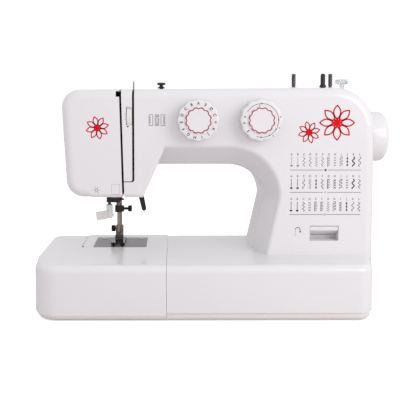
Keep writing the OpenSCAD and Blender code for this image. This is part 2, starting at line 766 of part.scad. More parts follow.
module bobbin_case() color(steel) difference() {
    union() {
        yrod(needle_x, [race_y[0] - 1, race_y[1] - 3], shuttle_z, 12.3);
        block([needle_x - 3, needle_x + 3], [race_y[0] - 3, race_y[0]], [shuttle_z - 9, shuttle_z + 9]);
    }
    difference() {
        yrod(needle_x, [race_y[0] + 1, race_y[1]], shuttle_z, 11);
        yrod(needle_x, [0, race_y[1] - 3], shuttle_z, 2.4);
    }
}
module bobbin() color([0.85, 0.86, 0.9])
    translate([needle_x, race_y[0] + 1.5, shuttle_z]) rotate([-90, 0, 0])
    rotate_extrude() polygon([[2.4 + fit, 0], [10.3, 0], [10.3, 0.9], [4, 0.9], [4, 6.9], [10.3, 6.9],
        [10.3, 7.8], [2.4 + fit, 7.8]]);
module feed_dog() color(steel) {
    for (x = [-127.4, -116])
        side_slab([x, x + 3.4], concat([[18, 57.4]], [for (i = [0:13], s = [0, 1])
            [18 + 2 * i + 1.6 * s, 60.7 + 0.8 * s]], [[46, 60.7], [46, 57.4]]));
    block([-127.4, -112.6], [34, 56], [52, 57.4]);
}
module needle_plate() color(steel) difference() {
    block([plate_x[0] + 0.25, plate_x[1] - 0.25], [plate_y[0], plate_y[1] - 0.25], plate_z);
    for (x = [-128.2, -116.8])
        block([x, x + 5], [16.5, 51.5], [50, 70]);
    zrod(needle_x, needle_y, [50, 70], 1.6);
    for (x = [-140, -94])
        zrod(x, 49, [50, 70], 2);
    for (i = [0:4], s = [-1, 1])
        block([needle_x + s * (12 + 4 * i) - 0.25, needle_x + s * (12 + 4 * i) + 0.25], [22, 38],
            [plate_z[1] - 0.3, 70]);
}

// ---- electrics, handle and small parts ----
module power_inlet() color(black) difference() {
    union() {
        block([156, 173.9], [inlet_y[0] + 0.6, inlet_y[1] - 0.6], [side_z[0] + 0.6, side_z[1] - 0.6]);
        block([bed_right, bed_right + 1.5], [inlet_y[0] - 2, inlet_y[1] + 2], [side_z[0] - 2, side_z[1] + 2]);
        block([173, bed_right + 1], [inlet_y[0] + 0.6, inlet_y[1] - 0.6], [side_z[0] + 0.6, side_z[1] - 0.6]);
    }
    difference() {
        block([161, 180], [inlet_y[0] + 3, inlet_y[1] - 3], [side_z[0] + 3.4, side_z[1] - 3.4]);
        for (y = [38.5, 47.5])
            xrod([150, 170], y, 33, 1.2);
    }
}
module power_switch() color(black) {
    side_z0 = (side_z[0] + side_z[1]) / 2;
    difference() {
        front_slab([switch_y[0] + 1, switch_y[1] - 1], [[166, side_z0 - 5], [173.6, side_z0 - 7.2],
            [174.6, side_z0], [175.8, side_z0 + 7], [173, side_z0 + 7.2], [166, side_z0 + 5]]);
        yrod(169, [-20, 40], side_z0, 1.5);
    }
}
module carrying_handle() color(white) difference() {
    union() {
        for (x = [handle_x[0] - 4, handle_x[1] - 4]) {
            block([x, x + 8], [handle_y - 2.5, handle_y + 2.5], [196, handle_z]);
            xrod([x, x + 8], handle_y, handle_z, 2.5);
        }
        block([handle_x[0] - 4, handle_x[1] + 4], [handle_y - 2.5, handle_y + 2.5], [186, 198]);
    }
    for (x = handle_x)
        xrod([x - 5, x + 5], handle_y, handle_z, 1.5 + fit);
}
module small_fixings() {
    // rubber feet
    color(black) for (x = foot_xs, y = foot_ys)
        zrod(x, y, [0, 2], 6.5);
    // handle pins
    color(steel) for (x = [[handle_x[0] - 8, handle_x[0] + 4.4], [handle_x[1] - 4.4, handle_x[1] + 8]])
        xrod(x, handle_y, handle_z, 1.5);
    // screws of the rear cover
    color(steel) for (p = [[-160, 215], [-40, 200], [120, 225], [150, 150], [80, 90]])
        difference() {
            yrod(p[0], [arm_rear, arm_rear + 1.4], p[1], 3.6);
            block([p[0] - 2.6, p[0] + 2.6], [arm_rear + 0.8, arm_rear + 3], [p[1] - 0.5, p[1] + 0.5]);
        }
    // screws of the needle plate
    color(steel) for (x = [-140, -94])
        difference() {
            union() {
                zrod(x, 49, [plate_z[1], plate_z[1] + 0.5], 3.4);
                zrod(x, 49, [54, plate_z[1]], 1.8);
            }
            block([x - 2.6, x + 2.6], [48.6, 49.4], [plate_z[1] + 0.2, 70]);
        }
    // lamp and pivot of the rocker switch
    color([0.97, 0.96, 0.9]) block([-104, -92], [16, 40], [head_floor - 0.8, 138]);
    color(steel) yrod(169, [switch_y[0] - 3, switch_y[1] + 3], (side_z[0] + side_z[1]) / 2, 1.5 - fit);
}

// puts the middle of the footprint at x = 0
module centred() translate([(bed_left - wheel_end) / 2, 0, 0]) children();

centred() base_tray();
centred() base_cover();
centred() free_arm_cover();
centred() extension_table();
centred() table_tray();
centred() accessory_door();
centred() shuttle_door();
centred() front_cover();
centred() rear_cover();
centred() face_cover();
centred() thread_guide_cover();
centred() arm_frame();
centred() bed_frame();
centred() needle_bar_frame();
centred() handwheel();
centred() clutch_knob();
centred() upper_shaft();
centred() shaft_bushes();
centred() crank_disc();
centred() motor();
centred() motor_pulley();
centred() motor_belt();
centred() needle_bar();
centred() needle_bar_link();
centred() needle_clamp();
centred() needle_clamp_screw();
centred() needle();
centred() take_up_lever();
centred() presser_bar();
centred() presser_spring();
centred() foot_holder();
centred() foot_holder_screw();
centred() presser_foot();
centred() presser_foot_lifter();
centred() threader_rod();
centred() needle_threader();
centred() tension_dial();
centred() tension_discs();
centred() pattern_dial();
centred() pattern_cams();
centred() length_dial();
centred() reverse_lever();
centred() spool_pin_left();
centred() spool_pin_right();
centred() spool_pin_sleeves();
centred() winder_carriage();
centred() winder_spindle();
centred() winder_stop();
centred() winder_thread_guide();
centred() lower_shaft();
centred() shuttle_race();
centred() shuttle_hook();
centred() bobbin_case();
centred() bobbin();
centred() feed_dog();
centred() needle_plate();
centred() power_inlet();
centred() power_switch();
centred() carrying_handle();
centred() small_fixings();
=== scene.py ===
"""Looks of a domestic sewing machine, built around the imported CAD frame. Lengths are millimetres until they
reach a mesh, and every place comes from the frame's boxes or repeats a size of the CAD source."""
import json
import math

import bmesh
import bpy
import numpy as np
from mathutils import Matrix, Vector


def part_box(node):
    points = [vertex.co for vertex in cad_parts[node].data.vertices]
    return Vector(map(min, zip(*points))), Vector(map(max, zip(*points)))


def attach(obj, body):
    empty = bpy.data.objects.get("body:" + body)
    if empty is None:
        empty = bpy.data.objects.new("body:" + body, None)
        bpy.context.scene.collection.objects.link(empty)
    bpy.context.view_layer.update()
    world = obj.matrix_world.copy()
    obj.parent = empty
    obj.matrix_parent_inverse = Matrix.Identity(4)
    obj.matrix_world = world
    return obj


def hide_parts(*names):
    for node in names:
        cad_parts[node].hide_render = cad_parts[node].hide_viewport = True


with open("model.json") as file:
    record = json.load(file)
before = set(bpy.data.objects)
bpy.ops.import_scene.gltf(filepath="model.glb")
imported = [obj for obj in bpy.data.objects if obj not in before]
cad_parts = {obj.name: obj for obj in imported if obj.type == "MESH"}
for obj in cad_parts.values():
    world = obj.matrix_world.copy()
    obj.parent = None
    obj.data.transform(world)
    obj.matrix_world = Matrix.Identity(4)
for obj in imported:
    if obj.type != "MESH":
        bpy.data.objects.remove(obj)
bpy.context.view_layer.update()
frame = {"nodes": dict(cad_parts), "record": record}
MM = 0.001
NODES = frame["nodes"]
RECORD = frame["record"]

# ---- sizes shared with the CAD source ----
ARM_TOP, BED_TOP, FRONT, REAR = 250.0, 61.0, -35.5, 77.0
BED_LEFT, WALL = 208.0, 2.6
FLOOR_Z, SPLIT_Y, SEAM_X = 126.4, 30.0, -60.4
ARM_EDGE, BED_EDGE, BED_FOOT, BED_CORNER = 11.0, 8.0, 7.0, 22.0
ARM_CORNERS = [(-159, 228, 20), (128, 204, 46), (162, 12, 12), (-154.5, 146.4, 20)]
BED_CORNERS = [(-176.5, -54.5, 28), (-196, -24, 12), (-196, 62, 12), (162, 65, 12), (162, -22, 12),
               (145, -64.5, 18)]
THROAT_F = (-61.6, 184.3, 10, 57, 52.5)
THROAT_M = (-72, 161, 11, 42, 40)
THROAT_R = (-69.5, 167, 11, 45, 46)
SLANT = 0.445
FACE_REAR = 48.0
STRIP_REAR, STRIP_FOOT, STRIP_X, SLOT_W = -6.0, 145.0, -98.0, 2.3
REV_X, REV_Z = (101, 133.5), (77.4, 94.5)
SHAFT_Y, SHAFT_Z, SHAFT_HOLE_R = 22.0, 192.0, 9.0
SPOOL_HOLE_R = 5.3
COVER_GAP, TABLE_GAP, SPLIT_GAP = 0.15, 0.15, 0.2
RISE_Y, RISE_REAR = -1.0, 61.0
SLOT_FOOT_X, SLOT_LEAN = -109.3, 3.4
# blocks that only cut reach past the machine, to these lengths
FAR, DEEP, HIGH = 230, 100, 300

# how far the footprint's middle is from the x = 0 of the lengths above
SHIFT = np.array([BED_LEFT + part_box("extension_table")[0][0] / MM, 0, 0])


def box_mm(node):
    lo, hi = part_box(node)
    return np.array(lo) / MM - SHIFT, np.array(hi) / MM - SHIFT


def centre_mm(node):
    lo, hi = box_mm(node)
    return (lo + hi) / 2


# ---- materials ----
def material(name, color, rough, vary=0.03, scale=40.0, bump=0.02, bump_scale=900.0, metal=0.0, coat=0.0,
             rough_vary=0.06, stretch=(1, 1, 1), ior=1.46, transmission=0.0):
    mat = bpy.data.materials.new(name)
    mat.use_nodes = True
    tree = mat.node_tree
    shader = tree.nodes["Principled BSDF"]
    add, link = tree.nodes.new, tree.links.new
    where = add("ShaderNodeTexCoord")
    place = add("ShaderNodeMapping")
    place.inputs["Scale"].default_value = stretch
    link(where.outputs["Object"], place.inputs["Vector"])
    clouds = add("ShaderNodeTexNoise")
    clouds.inputs["Scale"].default_value = scale
    clouds.inputs["Detail"].default_value = 4
    link(place.outputs["Vector"], clouds.inputs["Vector"])
    tint = add("ShaderNodeValToRGB")
    tint.color_ramp.elements[0].position = 0.3
    tint.color_ramp.elements[1].position = 0.7
    tint.color_ramp.elements[0].color = [c * (1 - vary) for c in color] + [1]
    tint.color_ramp.elements[1].color = [min(1, c * (1 + vary)) for c in color] + [1]
    link(clouds.outputs["Fac"], tint.inputs["Fac"])
    link(tint.outputs["Color"], shader.inputs["Base Color"])
    gloss = add("ShaderNodeMapRange")
    gloss.inputs["To Min"].default_value = max(0.02, rough - rough_vary)
    gloss.inputs["To Max"].default_value = min(1, rough + rough_vary)
    link(clouds.outputs["Fac"], gloss.inputs["Value"])
    link(gloss.outputs["Result"], shader.inputs["Roughness"])
    grain = add("ShaderNodeTexNoise")
    grain.inputs["Scale"].default_value = bump_scale
    grain.inputs["Detail"].default_value = 3
    link(place.outputs["Vector"], grain.inputs["Vector"])
    relief = add("ShaderNodeBump")
    relief.inputs["Strength"].default_value = bump
    relief.inputs["Distance"].default_value = 0.0004
    link(grain.outputs["Fac"], relief.inputs["Height"])
    link(relief.outputs["Normal"], shader.inputs["Normal"])
    shader.inputs["Metallic"].default_value = metal
    shader.inputs["IOR"].default_value = ior
    shader.inputs["Coat Weight"].default_value = coat
    shader.inputs["Coat Roughness"].default_value = 0.08
    shader.inputs["Transmission Weight"].default_value = transmission
    return mat


MAT = {
    "white_plastic": material("white_plastic", (0.80, 0.785, 0.80), 0.22, vary=0.012, scale=14, bump=0.03,
                              bump_scale=1400, coat=0.25, rough_vary=0.04),
    "beige_plastic": material("beige_plastic", (0.80, 0.765, 0.745), 0.38, vary=0.02, scale=18, bump=0.06,
                              bump_scale=1200),
    "ivory_plastic": material("ivory_plastic", (0.80, 0.775, 0.76), 0.28, vary=0.015, scale=30, bump=0.03),
    "clear_plastic": material("clear_plastic", (0.90, 0.91, 0.92), 0.12, vary=0.01, scale=60, bump=0.01,
                              transmission=0.75, ior=1.49),
    "black_plastic": material("black_plastic", (0.014, 0.011, 0.013), 0.36, vary=0.25, scale=120, bump=0.08),
    "black_metal": material("black_metal", (0.022, 0.020, 0.022), 0.30, vary=0.3, scale=160, bump=0.05,
                            metal=0.6),
    "belt_rubber": material("belt_rubber", (0.02, 0.02, 0.02), 0.75, vary=0.3, scale=300, bump=0.3),
    "cast_alloy": material("cast_alloy", (0.50, 0.51, 0.53), 0.48, vary=0.08, scale=90, bump=0.35,
                           bump_scale=700, metal=0.85),
    "bearing_bronze": material("bearing_bronze", (0.55, 0.37, 0.20), 0.35, vary=0.1, scale=200, bump=0.08,
                               metal=1),
    "brushed_steel": material("brushed_steel", (0.31, 0.30, 0.30), 0.46, vary=0.12, scale=160, bump=0.06,
                              bump_scale=1500, metal=1, stretch=(0.15, 1, 1)),
    "dark_chrome": material("dark_chrome", (0.085, 0.075, 0.078), 0.16, vary=0.35, scale=260, bump=0.02,
                            metal=1, stretch=(1, 1, 0.2)),
    "bar_steel": material("bar_steel", (0.21, 0.155, 0.135), 0.24, vary=0.25, scale=240, bump=0.02, metal=1,
                          stretch=(1, 1, 0.15)),
    "fixings": material("fixings", (0.42, 0.41, 0.41), 0.30, vary=0.1, scale=160, bump=0.04, metal=1),
    "black_gloss": material("black_gloss", (0.012, 0.010, 0.011), 0.14, vary=0.2, scale=160, bump=0.02),
    "chrome": material("chrome", (0.36, 0.34, 0.34), 0.14, vary=0.05, scale=120, bump=0.01, metal=1),
}


def mix_by_height(mat, middle, reach, color, rough):
    """Give the part of a material within reach of a height another colour and no metal."""
    tree = mat.node_tree
    shader = tree.nodes["Principled BSDF"]
    where = tree.nodes.new("ShaderNodeTexCoord")
    split = tree.nodes.new("ShaderNodeSeparateXYZ")
    tree.links.new(where.outputs["Object"], split.inputs["Vector"])
    near = tree.nodes.new("ShaderNodeMath")
    near.operation = "COMPARE"
    near.inputs[1].default_value = middle * MM
    near.inputs[2].default_value = reach * MM
    tree.links.new(split.outputs["Z"], near.inputs[0])
    for socket, value in (("Base Color", color), ("Metallic", (0, 0, 0)), ("Roughness", (rough,) * 3)):
        slot = shader.inputs[socket]
        mix = tree.nodes.new("ShaderNodeMix")
        mix.data_type = "RGBA"
        if slot.is_linked:
            tree.links.new(slot.links[0].from_socket, mix.inputs["A"])
        else:
            mix.inputs["A"].default_value = (slot.default_value,) * 3 + (1,)
        mix.inputs["B"].default_value = (*value, 1)
        tree.links.new(near.outputs["Value"], mix.inputs["Factor"])
        tree.links.new(mix.outputs["Result"], slot)


mix_by_height(MAT["fixings"], 0, 4, (0.015, 0.014, 0.014), 0.7)
mix_by_height(MAT["fixings"], 132, 10, (0.85, 0.84, 0.80), 0.3)
INK = {
    "bright": material("ink_bright", (0.72, 0.0, 0.003), 0.50, vary=0.08, scale=220, bump=0.04),
    "red": material("ink_red", (0.52, 0.0, 0.012), 0.50, vary=0.08, scale=220, bump=0.04),
    "ruby": material("ink_ruby", (0.38, 0.0, 0.035), 0.50, vary=0.08, scale=220, bump=0.04),
    "grey": material("ink_grey", (0.16, 0.15, 0.16), 0.40, vary=0.12, scale=260, bump=0.04),
    "black": material("ink_black", (0.025, 0.02, 0.022), 0.38, vary=0.2, scale=260, bump=0.04),
    "pale": material("ink_pale", (0.42, 0.40, 0.41), 0.40, vary=0.10, scale=260, bump=0.04),
}
for name in ("bright", "red", "ruby"):
    INK[name].node_tree.nodes["Principled BSDF"].inputs["Specular IOR Level"].default_value = 0.15


# ---- mesh helpers ----
def link(name, mesh):
    obj = bpy.data.objects.new(name, mesh)
    bpy.context.scene.collection.objects.link(obj)
    return obj


def solid(name, verts, faces):
    mesh = bpy.data.meshes.new(name)
    mesh.from_pydata([tuple(float(c) * MM for c in v) for v in verts], [],
                     [tuple(map(int, f)) for f in faces])
    mesh.validate()
    bm = bmesh.new()
    bm.from_mesh(mesh)
    bmesh.ops.recalc_face_normals(bm, faces=bm.faces)
    bm.to_mesh(mesh)
    bm.free()
    return link(name, mesh)


def shade(obj, angle=34):
    for poly in obj.data.polygons:
        poly.use_smooth = True
    obj.data.set_sharp_from_angle(angle=math.radians(angle))


def drop(obj):
    mesh = obj.data
    bpy.data.objects.remove(obj)
    bpy.data.meshes.remove(mesh)


def boolean(obj, tool, operation="DIFFERENCE", keep_tool=False):
    mod = obj.modifiers.new("cut", "BOOLEAN")
    mod.operation, mod.solver, mod.object = operation, "EXACT", tool
    graph = bpy.context.evaluated_depsgraph_get()
    mesh = bpy.data.meshes.new_from_object(obj.evaluated_get(graph))
    old = obj.data
    obj.modifiers.clear()
    obj.data = mesh
    bpy.data.meshes.remove(old)
    if not keep_tool:
        drop(tool)
    return obj


def cut(obj, *tools):
    for tool in tools:
        boolean(obj, tool)
    return obj


def keep(obj, tool):
    return boolean(obj, tool, "INTERSECT")


def block(x, y, z):
    corners = [(a, b, c) for a in x for b in y for c in z]
    faces = [(0, 1, 3, 2), (4, 6, 7, 5), (0, 4, 5, 1), (2, 3, 7, 6), (0, 2, 6, 4), (1, 5, 7, 3)]
    return solid("block", corners, faces)


def prism(points, place, a, b):
    """Closed outline made solid between two values; place(u, v, w) turns outline and depth into x, y, z."""
    n = len(points)
    verts = [place(u, v, a) for u, v in points] + [place(u, v, b) for u, v in points]
    faces = [tuple(range(n)), tuple(range(2 * n - 1, n - 1, -1))]
    faces += [(i, (i + 1) % n, n + (i + 1) % n, n + i) for i in range(n)]
    return solid("prism", verts, faces)


def front_prism(points, y):
    return prism(points, lambda u, v, w: (u, w, v), *y)


def side_prism(points, x):
    return prism(points, lambda u, v, w: (w, u, v), *x)


def circle(r, n=64, cu=0.0, cv=0.0, start=0.0):
    return [(cu + r * math.cos(start + 2 * math.pi * i / n), cv + r * math.sin(start + 2 * math.pi * i / n))
            for i in range(n)]


AXIS_PLACE = {
    "x": lambda u, v, w: (w, u, v),
    "y": lambda u, v, w: (u, w, v),
    "z": lambda u, v, w: (u, v, w),
}


def rod(axis, u, v, span, r, n=48):
    return prism(circle(r, n, u, v), AXIS_PLACE[axis], *span)


def lathe_mesh(profile, axis, centre, n=64, lobes=None):
    """Profile of (radius, along) pairs turned about an axis through centre (u, v)."""
    place = AXIS_PLACE[axis]
    verts, faces = [], []
    m = len(profile)
    for i in range(n):
        a = 2 * math.pi * i / n
        for r, w in profile:
            k = r * (1 if lobes is None else lobes(a, r, w))
            verts.append(place(centre[0] + k * math.cos(a), centre[1] + k * math.sin(a), w))
    for i in range(n):
        for j in range(m - 1):
            a, b = i * m + j, ((i + 1) % n) * m + j
            faces.append((a, b, b + 1, a + 1))
    if profile[0][0] > 0:
        faces.append(tuple(i * m for i in range(n)))
    if profile[-1][0] > 0:
        faces.append(tuple(i * m + m - 1 for i in reversed(range(n))))
    return verts, faces


def lathe(name, profile, axis, centre, n=64, lobes=None):
    return solid(name, *lathe_mesh(profile, axis, centre, n, lobes))


def round_profile(r, w0, w1, e0, e1, n=6):
    """Side of a disc of radius r from w0 to w1 with rounded rims e0 and e1, flat ends closed by n-gons."""
    turn = 1 if w1 > w0 else -1
    angles = [math.pi / 2 * i / n for i in range(n + 1)]
    out = [(r - e0 + e0 * math.sin(a), w0 + turn * (e0 - e0 * math.cos(a))) for a in angles]
    out += [(r - e1 + e1 * math.cos(a), w1 - turn * (e1 - e1 * math.sin(a))) for a in angles]
    return out


def merge(name, parts):
    """Joins several temporary solids into one object."""
    verts, faces = [], []
    for part in parts:
        base = len(verts)
        verts += [tuple(v.co) for v in part.data.vertices]
        faces += [tuple(base + i for i in p.vertices) for p in part.data.polygons]
        drop(part)
    mesh = bpy.data.meshes.new(name)
    mesh.from_pydata(verts, [], faces)
    return link(name, mesh)


def finish_piece(obj, name, body, slot, replaces=(), mat=None, angle=34, weighted=True):
    obj.name = name
    obj.data.name = name
    obj.data.transform(Matrix.Translation(SHIFT * MM))
    obj.data.materials.clear()
    obj.data.materials.append(mat or MAT[slot])
    shade(obj, angle)
    if weighted:
        mod = obj.modifiers.new("normals", "WEIGHTED_NORMAL")
        mod.keep_sharp = True
        mod.weight = 80
    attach(obj, body)
    if replaces:
        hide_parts(*replaces)
    return obj


# ---- arm: skin as rings along the front-view outline ----
def arc(cx, cz, r, a0, a1, n):
    return [(cx, cz, r, math.radians(a0 + (a1 - a0) * i / n)) for i in range(n + 1)]


def outer_stations():
    """Points round the outside of the arm from the right foot to the bottom left of the head, each with its
    outward normal, as (centre x, centre z, radius, angle)."""
    c = ARM_CORNERS
    def tangent(a, b):
        # angle of the outward normal of the common outer tangent, going anticlockwise from a to b
        dx, dz = b[0] - a[0], b[1] - a[1]
        return math.atan2(dz, dx) - math.pi / 2 + math.asin((a[2] - b[2]) / math.hypot(dx, dz))
    top = math.degrees(tangent(c[1], c[0])) % 360
    left = math.degrees(tangent(c[0], c[3])) % 360
    foot = [(c[2][0], BED_TOP + (c[1][1] - BED_TOP) * i / 14, c[2][2], 0.0) for i in range(14)]
    return (foot + arc(*c[1], 0, top, 28) + arc(*c[0], top, left, 18) + arc(*c[3], left, 270, 16))


def throat_at(y):
    """Throat outline numbers (left x, top z, centre x, radius, foot x) at a depth."""
    def mix(a, b, t):
        return [p + (q - p) * t for p, q in zip(a, b)]
    if y <= RISE_Y:
        return mix(THROAT_F, THROAT_M, (y - FRONT) / (RISE_Y - FRONT))
    if y <= RISE_REAR:
        return list(THROAT_M)
    return mix(THROAT_M, THROAT_R, (y - RISE_REAR) / (REAR - RISE_REAR))


def bend(p, q, r, t):
    return tuple((1 - t) ** 2 * a + 2 * t * (1 - t) * b + t * t * c for a, b, c in zip(p, q, r))


FRONT_STEPS = 9
REAR_STEPS = 9
CREASE, CREASE_STEPS = 3.6, 6
# behind the crease: depths of the throat's last stops, and the floor's lift and depth at every front stop
THROAT_STOPS = (-24.5, -4, RISE_Y)
FLOOR_LIFTS = (4.6, 3.9, 2.2, 0.8, 0.25, 0, 0, 0, 0)
FLOOR_DEPTHS = (0, 0.15, 1.4, 2.6, 3.4, 5, 8, 10, 11)


def profiles(g, y0, y1):
    """For each depth stop: the outer rim's (inset, y), the throat's (y, extra), the floor's (y, lift)."""
    e = ARM_EDGE - g
    stops = []
    if y0 <= FRONT:
        for j in range(FRONT_STEPS):
            a = math.pi / 2 * j / (FRONT_STEPS - 1)
            outer = (e * (1 - math.sin(a)) + g, FRONT + g + e * (1 - math.cos(a)))
            soft = max(0.8, CREASE - g)
            if j < CREASE_STEPS:
                y_in, out_in = bend((FRONT + g, soft), (FRONT + g, 0), (FRONT + g + soft, 0),
                                    j / (CREASE_STEPS - 1))
            else:
                y_in, out_in = THROAT_STOPS[j - CREASE_STEPS], 0
            stops.append((outer, (y_in, out_in), (FLOOR_DEPTHS[j] + FRONT + g, FLOOR_LIFTS[j])))
    else:
        stops.append(((g, y0), (y0, 0), (y0, 0)))
    for y in (1.5, 15, 30, 48):
        if y0 < y < y1:
            stops.append(((g, y), (y, 0), (y, 0)))
    if y1 < REAR:
        stops.append(((g, y1), (y1, 0), (y1, 0)))
    else:
        for j in range(REAR_STEPS):
            a = math.pi / 2 * j / (REAR_STEPS - 1)
            outer = (e * (1 - math.cos(a)) + g, REAR - g - e + e * math.sin(a))
            y_in = RISE_REAR + (REAR - g - RISE_REAR) * j / (REAR_STEPS - 1)
            stops.append((outer, (y_in, 0), (y_in if j else 60.0, 0)))
    return stops


# the rim dies away over this length, and from this share of the floor on the stops turn into the throat's
FADE, TURN_IN = 12.0, 0.8


def arm_rings(g, y0, y1):
    """Array of points [station, stop, xyz] for the skin made smaller by g."""
    rings = []
    stops = profiles(g, y0, y1)
    for cx, cz, r, a in outer_stations():
        rings.append([(cx + (r - o[0]) * math.cos(a), o[1], cz + (r - o[0]) * math.sin(a))
                      for o, _, _ in stops])
    def slant_x(y, out, z):
        xl, zt = throat_at(y)[:2]
        return xl - SLANT * (zt - z) - (out + g) * math.hypot(1, SLANT)
    for i in range(1, 17):
        u = i / 16
        row = []
        for o, t, f in stops:
            z = FLOOR_Z + g + f[1]
            x0, x1 = ARM_CORNERS[3][0], slant_x(t[0], t[1], z)
            x = x0 + (x1 - x0) * u
            w = min(1.0, (x - x0) / FADE)
            w = w * w * (3 - 2 * w)
            # the rounded rim of the outside dies away into the flat floor
            z_mix = (FLOOR_Z + o[0]) * (1 - w) + z * w
            y_mix = o[1] * (1 - w) + f[0] * w
            if u > TURN_IN:
                k = (u - TURN_IN) / (1 - TURN_IN)
                y_mix = f[0] * (1 - k) + t[0] * k
            row.append((x, y_mix, z_mix))
        rings.append(row)
    def add_row(point):
        rings.append([point(t, f) for _, t, f in stops])
    for i in range(1, 11):
        def on_slant(t, f, u=i / 10):
            zt = throat_at(t[0])[1] + g + t[1]
            z = (FLOOR_Z + g + f[1]) * (1 - u) + zt * u
            return slant_x(t[0], t[1], z), t[0], z
        add_row(on_slant)
    for i in range(1, 9):
        def on_top(t, f, u=i / 8):
            xl, zt, cx, r, _ = throat_at(t[0])
            z = zt + g + t[1]
            x0 = slant_x(t[0], t[1], z)
            return x0 + (cx - x0) * u, t[0], z
        add_row(on_top)
    for i in range(1, 25):
        def on_round(t, f, a=math.pi / 2 * (1 - i / 24)):
            xl, zt, cx, r, _ = throat_at(t[0])
            k = r + g + t[1]
            return cx + k * math.cos(a), t[0], zt - r + k * math.sin(a)
        add_row(on_round)
    for i in range(1, 9):
        def on_wall(t, f, u=i / 8):
            xl, zt, cx, r, xf = throat_at(t[0])
            z = (zt - r) * (1 - u) + BED_TOP * u
            return (cx + r) * (1 - u) + xf * u + g + t[1], t[0], z
        add_row(on_wall)
    return np.array(rings, float)


def arm_shell(y0, y1):
    outer, inner = arm_rings(0, y0, y1), arm_rings(WALL, y0, y1)
    n, k, _ = outer.shape
    verts = np.concatenate([outer.reshape(-1, 3), inner.reshape(-1, 3)])
    def at(side, i, j):
        return side * n * k + i * k + j
    faces = []
    for side in (0, 1):
        for i in range(n - 1):
            for j in range(k - 1):
                quad = (at(side, i, j), at(side, i + 1, j), at(side, i + 1, j + 1), at(side, i, j + 1))
                faces.append(quad if side == 0 else quad[::-1])
    for i in (0, n - 1):
        faces += [(at(0, i, j), at(0, i, j + 1), at(1, i, j + 1), at(1, i, j)) for j in range(k - 1)]
    for j, closed in ((0, y0 <= FRONT), (k - 1, y1 >= REAR)):
        if closed:
            faces.append([at(0, i, j) for i in range(n)])
            faces.append([at(1, i, j) for i in range(n)])
            faces.append((at(0, 0, j), at(0, n - 1, j), at(1, n - 1, j), at(1, 0, j)))
        else:
            faces += [(at(0, i, j), at(0, i + 1, j), at(1, i + 1, j), at(1, i, j)) for i in range(n - 1)]
    return solid("shell", verts, faces)


def slot_x(z):
    return SLOT_FOOT_X - SLOT_LEAN * (z - FLOOR_Z) / (ARM_TOP - FLOOR_Z)


def beside_slot(side, d, y=(-60, 100)):
    return front_prism([(side * FAR, -5), (slot_x(-5) + side * d, -5), (slot_x(275) + side * d, 275),
                        (side * FAR, 275)], y)


def strip_window(x, z, r):
    """Outline of the strip between the two threading slots, rounded at its lower right corner."""
    foot = [(x - r + r * math.sin(t), z + r - r * math.cos(t))
            for t in (math.pi / 2 * i / 8 for i in range(9))]
    return front_prism([(-130, HIGH), (-130, z)] + foot + [(x, HIGH)], (-60, STRIP_REAR))


def head_openings():
    """Holes in the head's floor for the needle bar and presser bar, the lamp and the lifter."""
    return [block((-141, -105.5), (13, 60), (120, 134)), block((-104.6, -91.4), (15.4, 40.6), (120, 134)),
            block((-107, -64), (62, 72), (110, 140))]


def build_arm():
    front = arm_shell(FRONT, SPLIT_Y)
    cut(front, beside_slot(-1, -COVER_GAP), strip_window(STRIP_X + 1.2, STRIP_FOOT - 1.0, 3.2))
    slot = beside_slot(-1, -SLOT_W / 2, (-60, STRIP_REAR))
    cut(front, slot, *head_openings())
    cut(front, rod("x", SHAFT_Y, SHAFT_Z, (160, 190), SHAFT_HOLE_R))
    winder_slot = block((125.3, 130.5), (13.6, 20.4), (230, 270))
    cut(front, winder_slot)
    rim = 2.4
    pocket = block((REV_X[0] - rim, REV_X[1] + rim), (-34, -17), (REV_Z[0] - rim, REV_Z[1] + rim))
    boolean(front, pocket, "UNION")
    cut(front, block(REV_X, (-40, -19.4), REV_Z),
        block((REV_X[0] + 5, REV_X[1] - 5), (-30, 0), (81.2, REV_Z[1] - 1)))
    finish_piece(front, "front_cover_skin", "machine", "white_plastic", ["front_cover"])

    rear = arm_shell(SPLIT_Y + SPLIT_GAP, REAR)
    cut(rear, beside_slot(-1, -COVER_GAP, (0, FACE_REAR + SPLIT_GAP)), *head_openings())
    for name in ("spool_pin_left", "spool_pin_right"):
        c = centre_mm(name)
        cut(rear, rod("z", c[0], c[1], (230, 270), SPOOL_HOLE_R))
    cut(rear, rod("x", SHAFT_Y, SHAFT_Z, (160, 190), SHAFT_HOLE_R))
    finish_piece(rear, "rear_cover_skin", "machine", "white_plastic", ["rear_cover"])

    face = arm_shell(FRONT, FACE_REAR)
    thread_notch = block((-117.5, -105), (-60, -22), (240, 246.4))
    cut(face, beside_slot(1, -COVER_GAP), beside_slot(1, -SLOT_W / 2, (-60, STRIP_REAR)), thread_notch,
        *head_openings())
    finish_piece(face, "face_cover_skin", "machine", "white_plastic", ["face_cover"])

    strip = arm_shell(FRONT, SPLIT_Y)
    cut(strip, beside_slot(-1, -SLOT_W / 2))
    keep(strip, strip_window(STRIP_X - 1.2, STRIP_FOOT, 2.0))
    z, half = centre_mm("tension_dial")[2], 9.8
    cut(strip, block((-105.8, STRIP_X), (-50, -20), (z - half, z + half)))
    finish_piece(strip, "thread_guide_skin", "machine", "white_plastic", ["thread_guide_cover"])


build_arm()


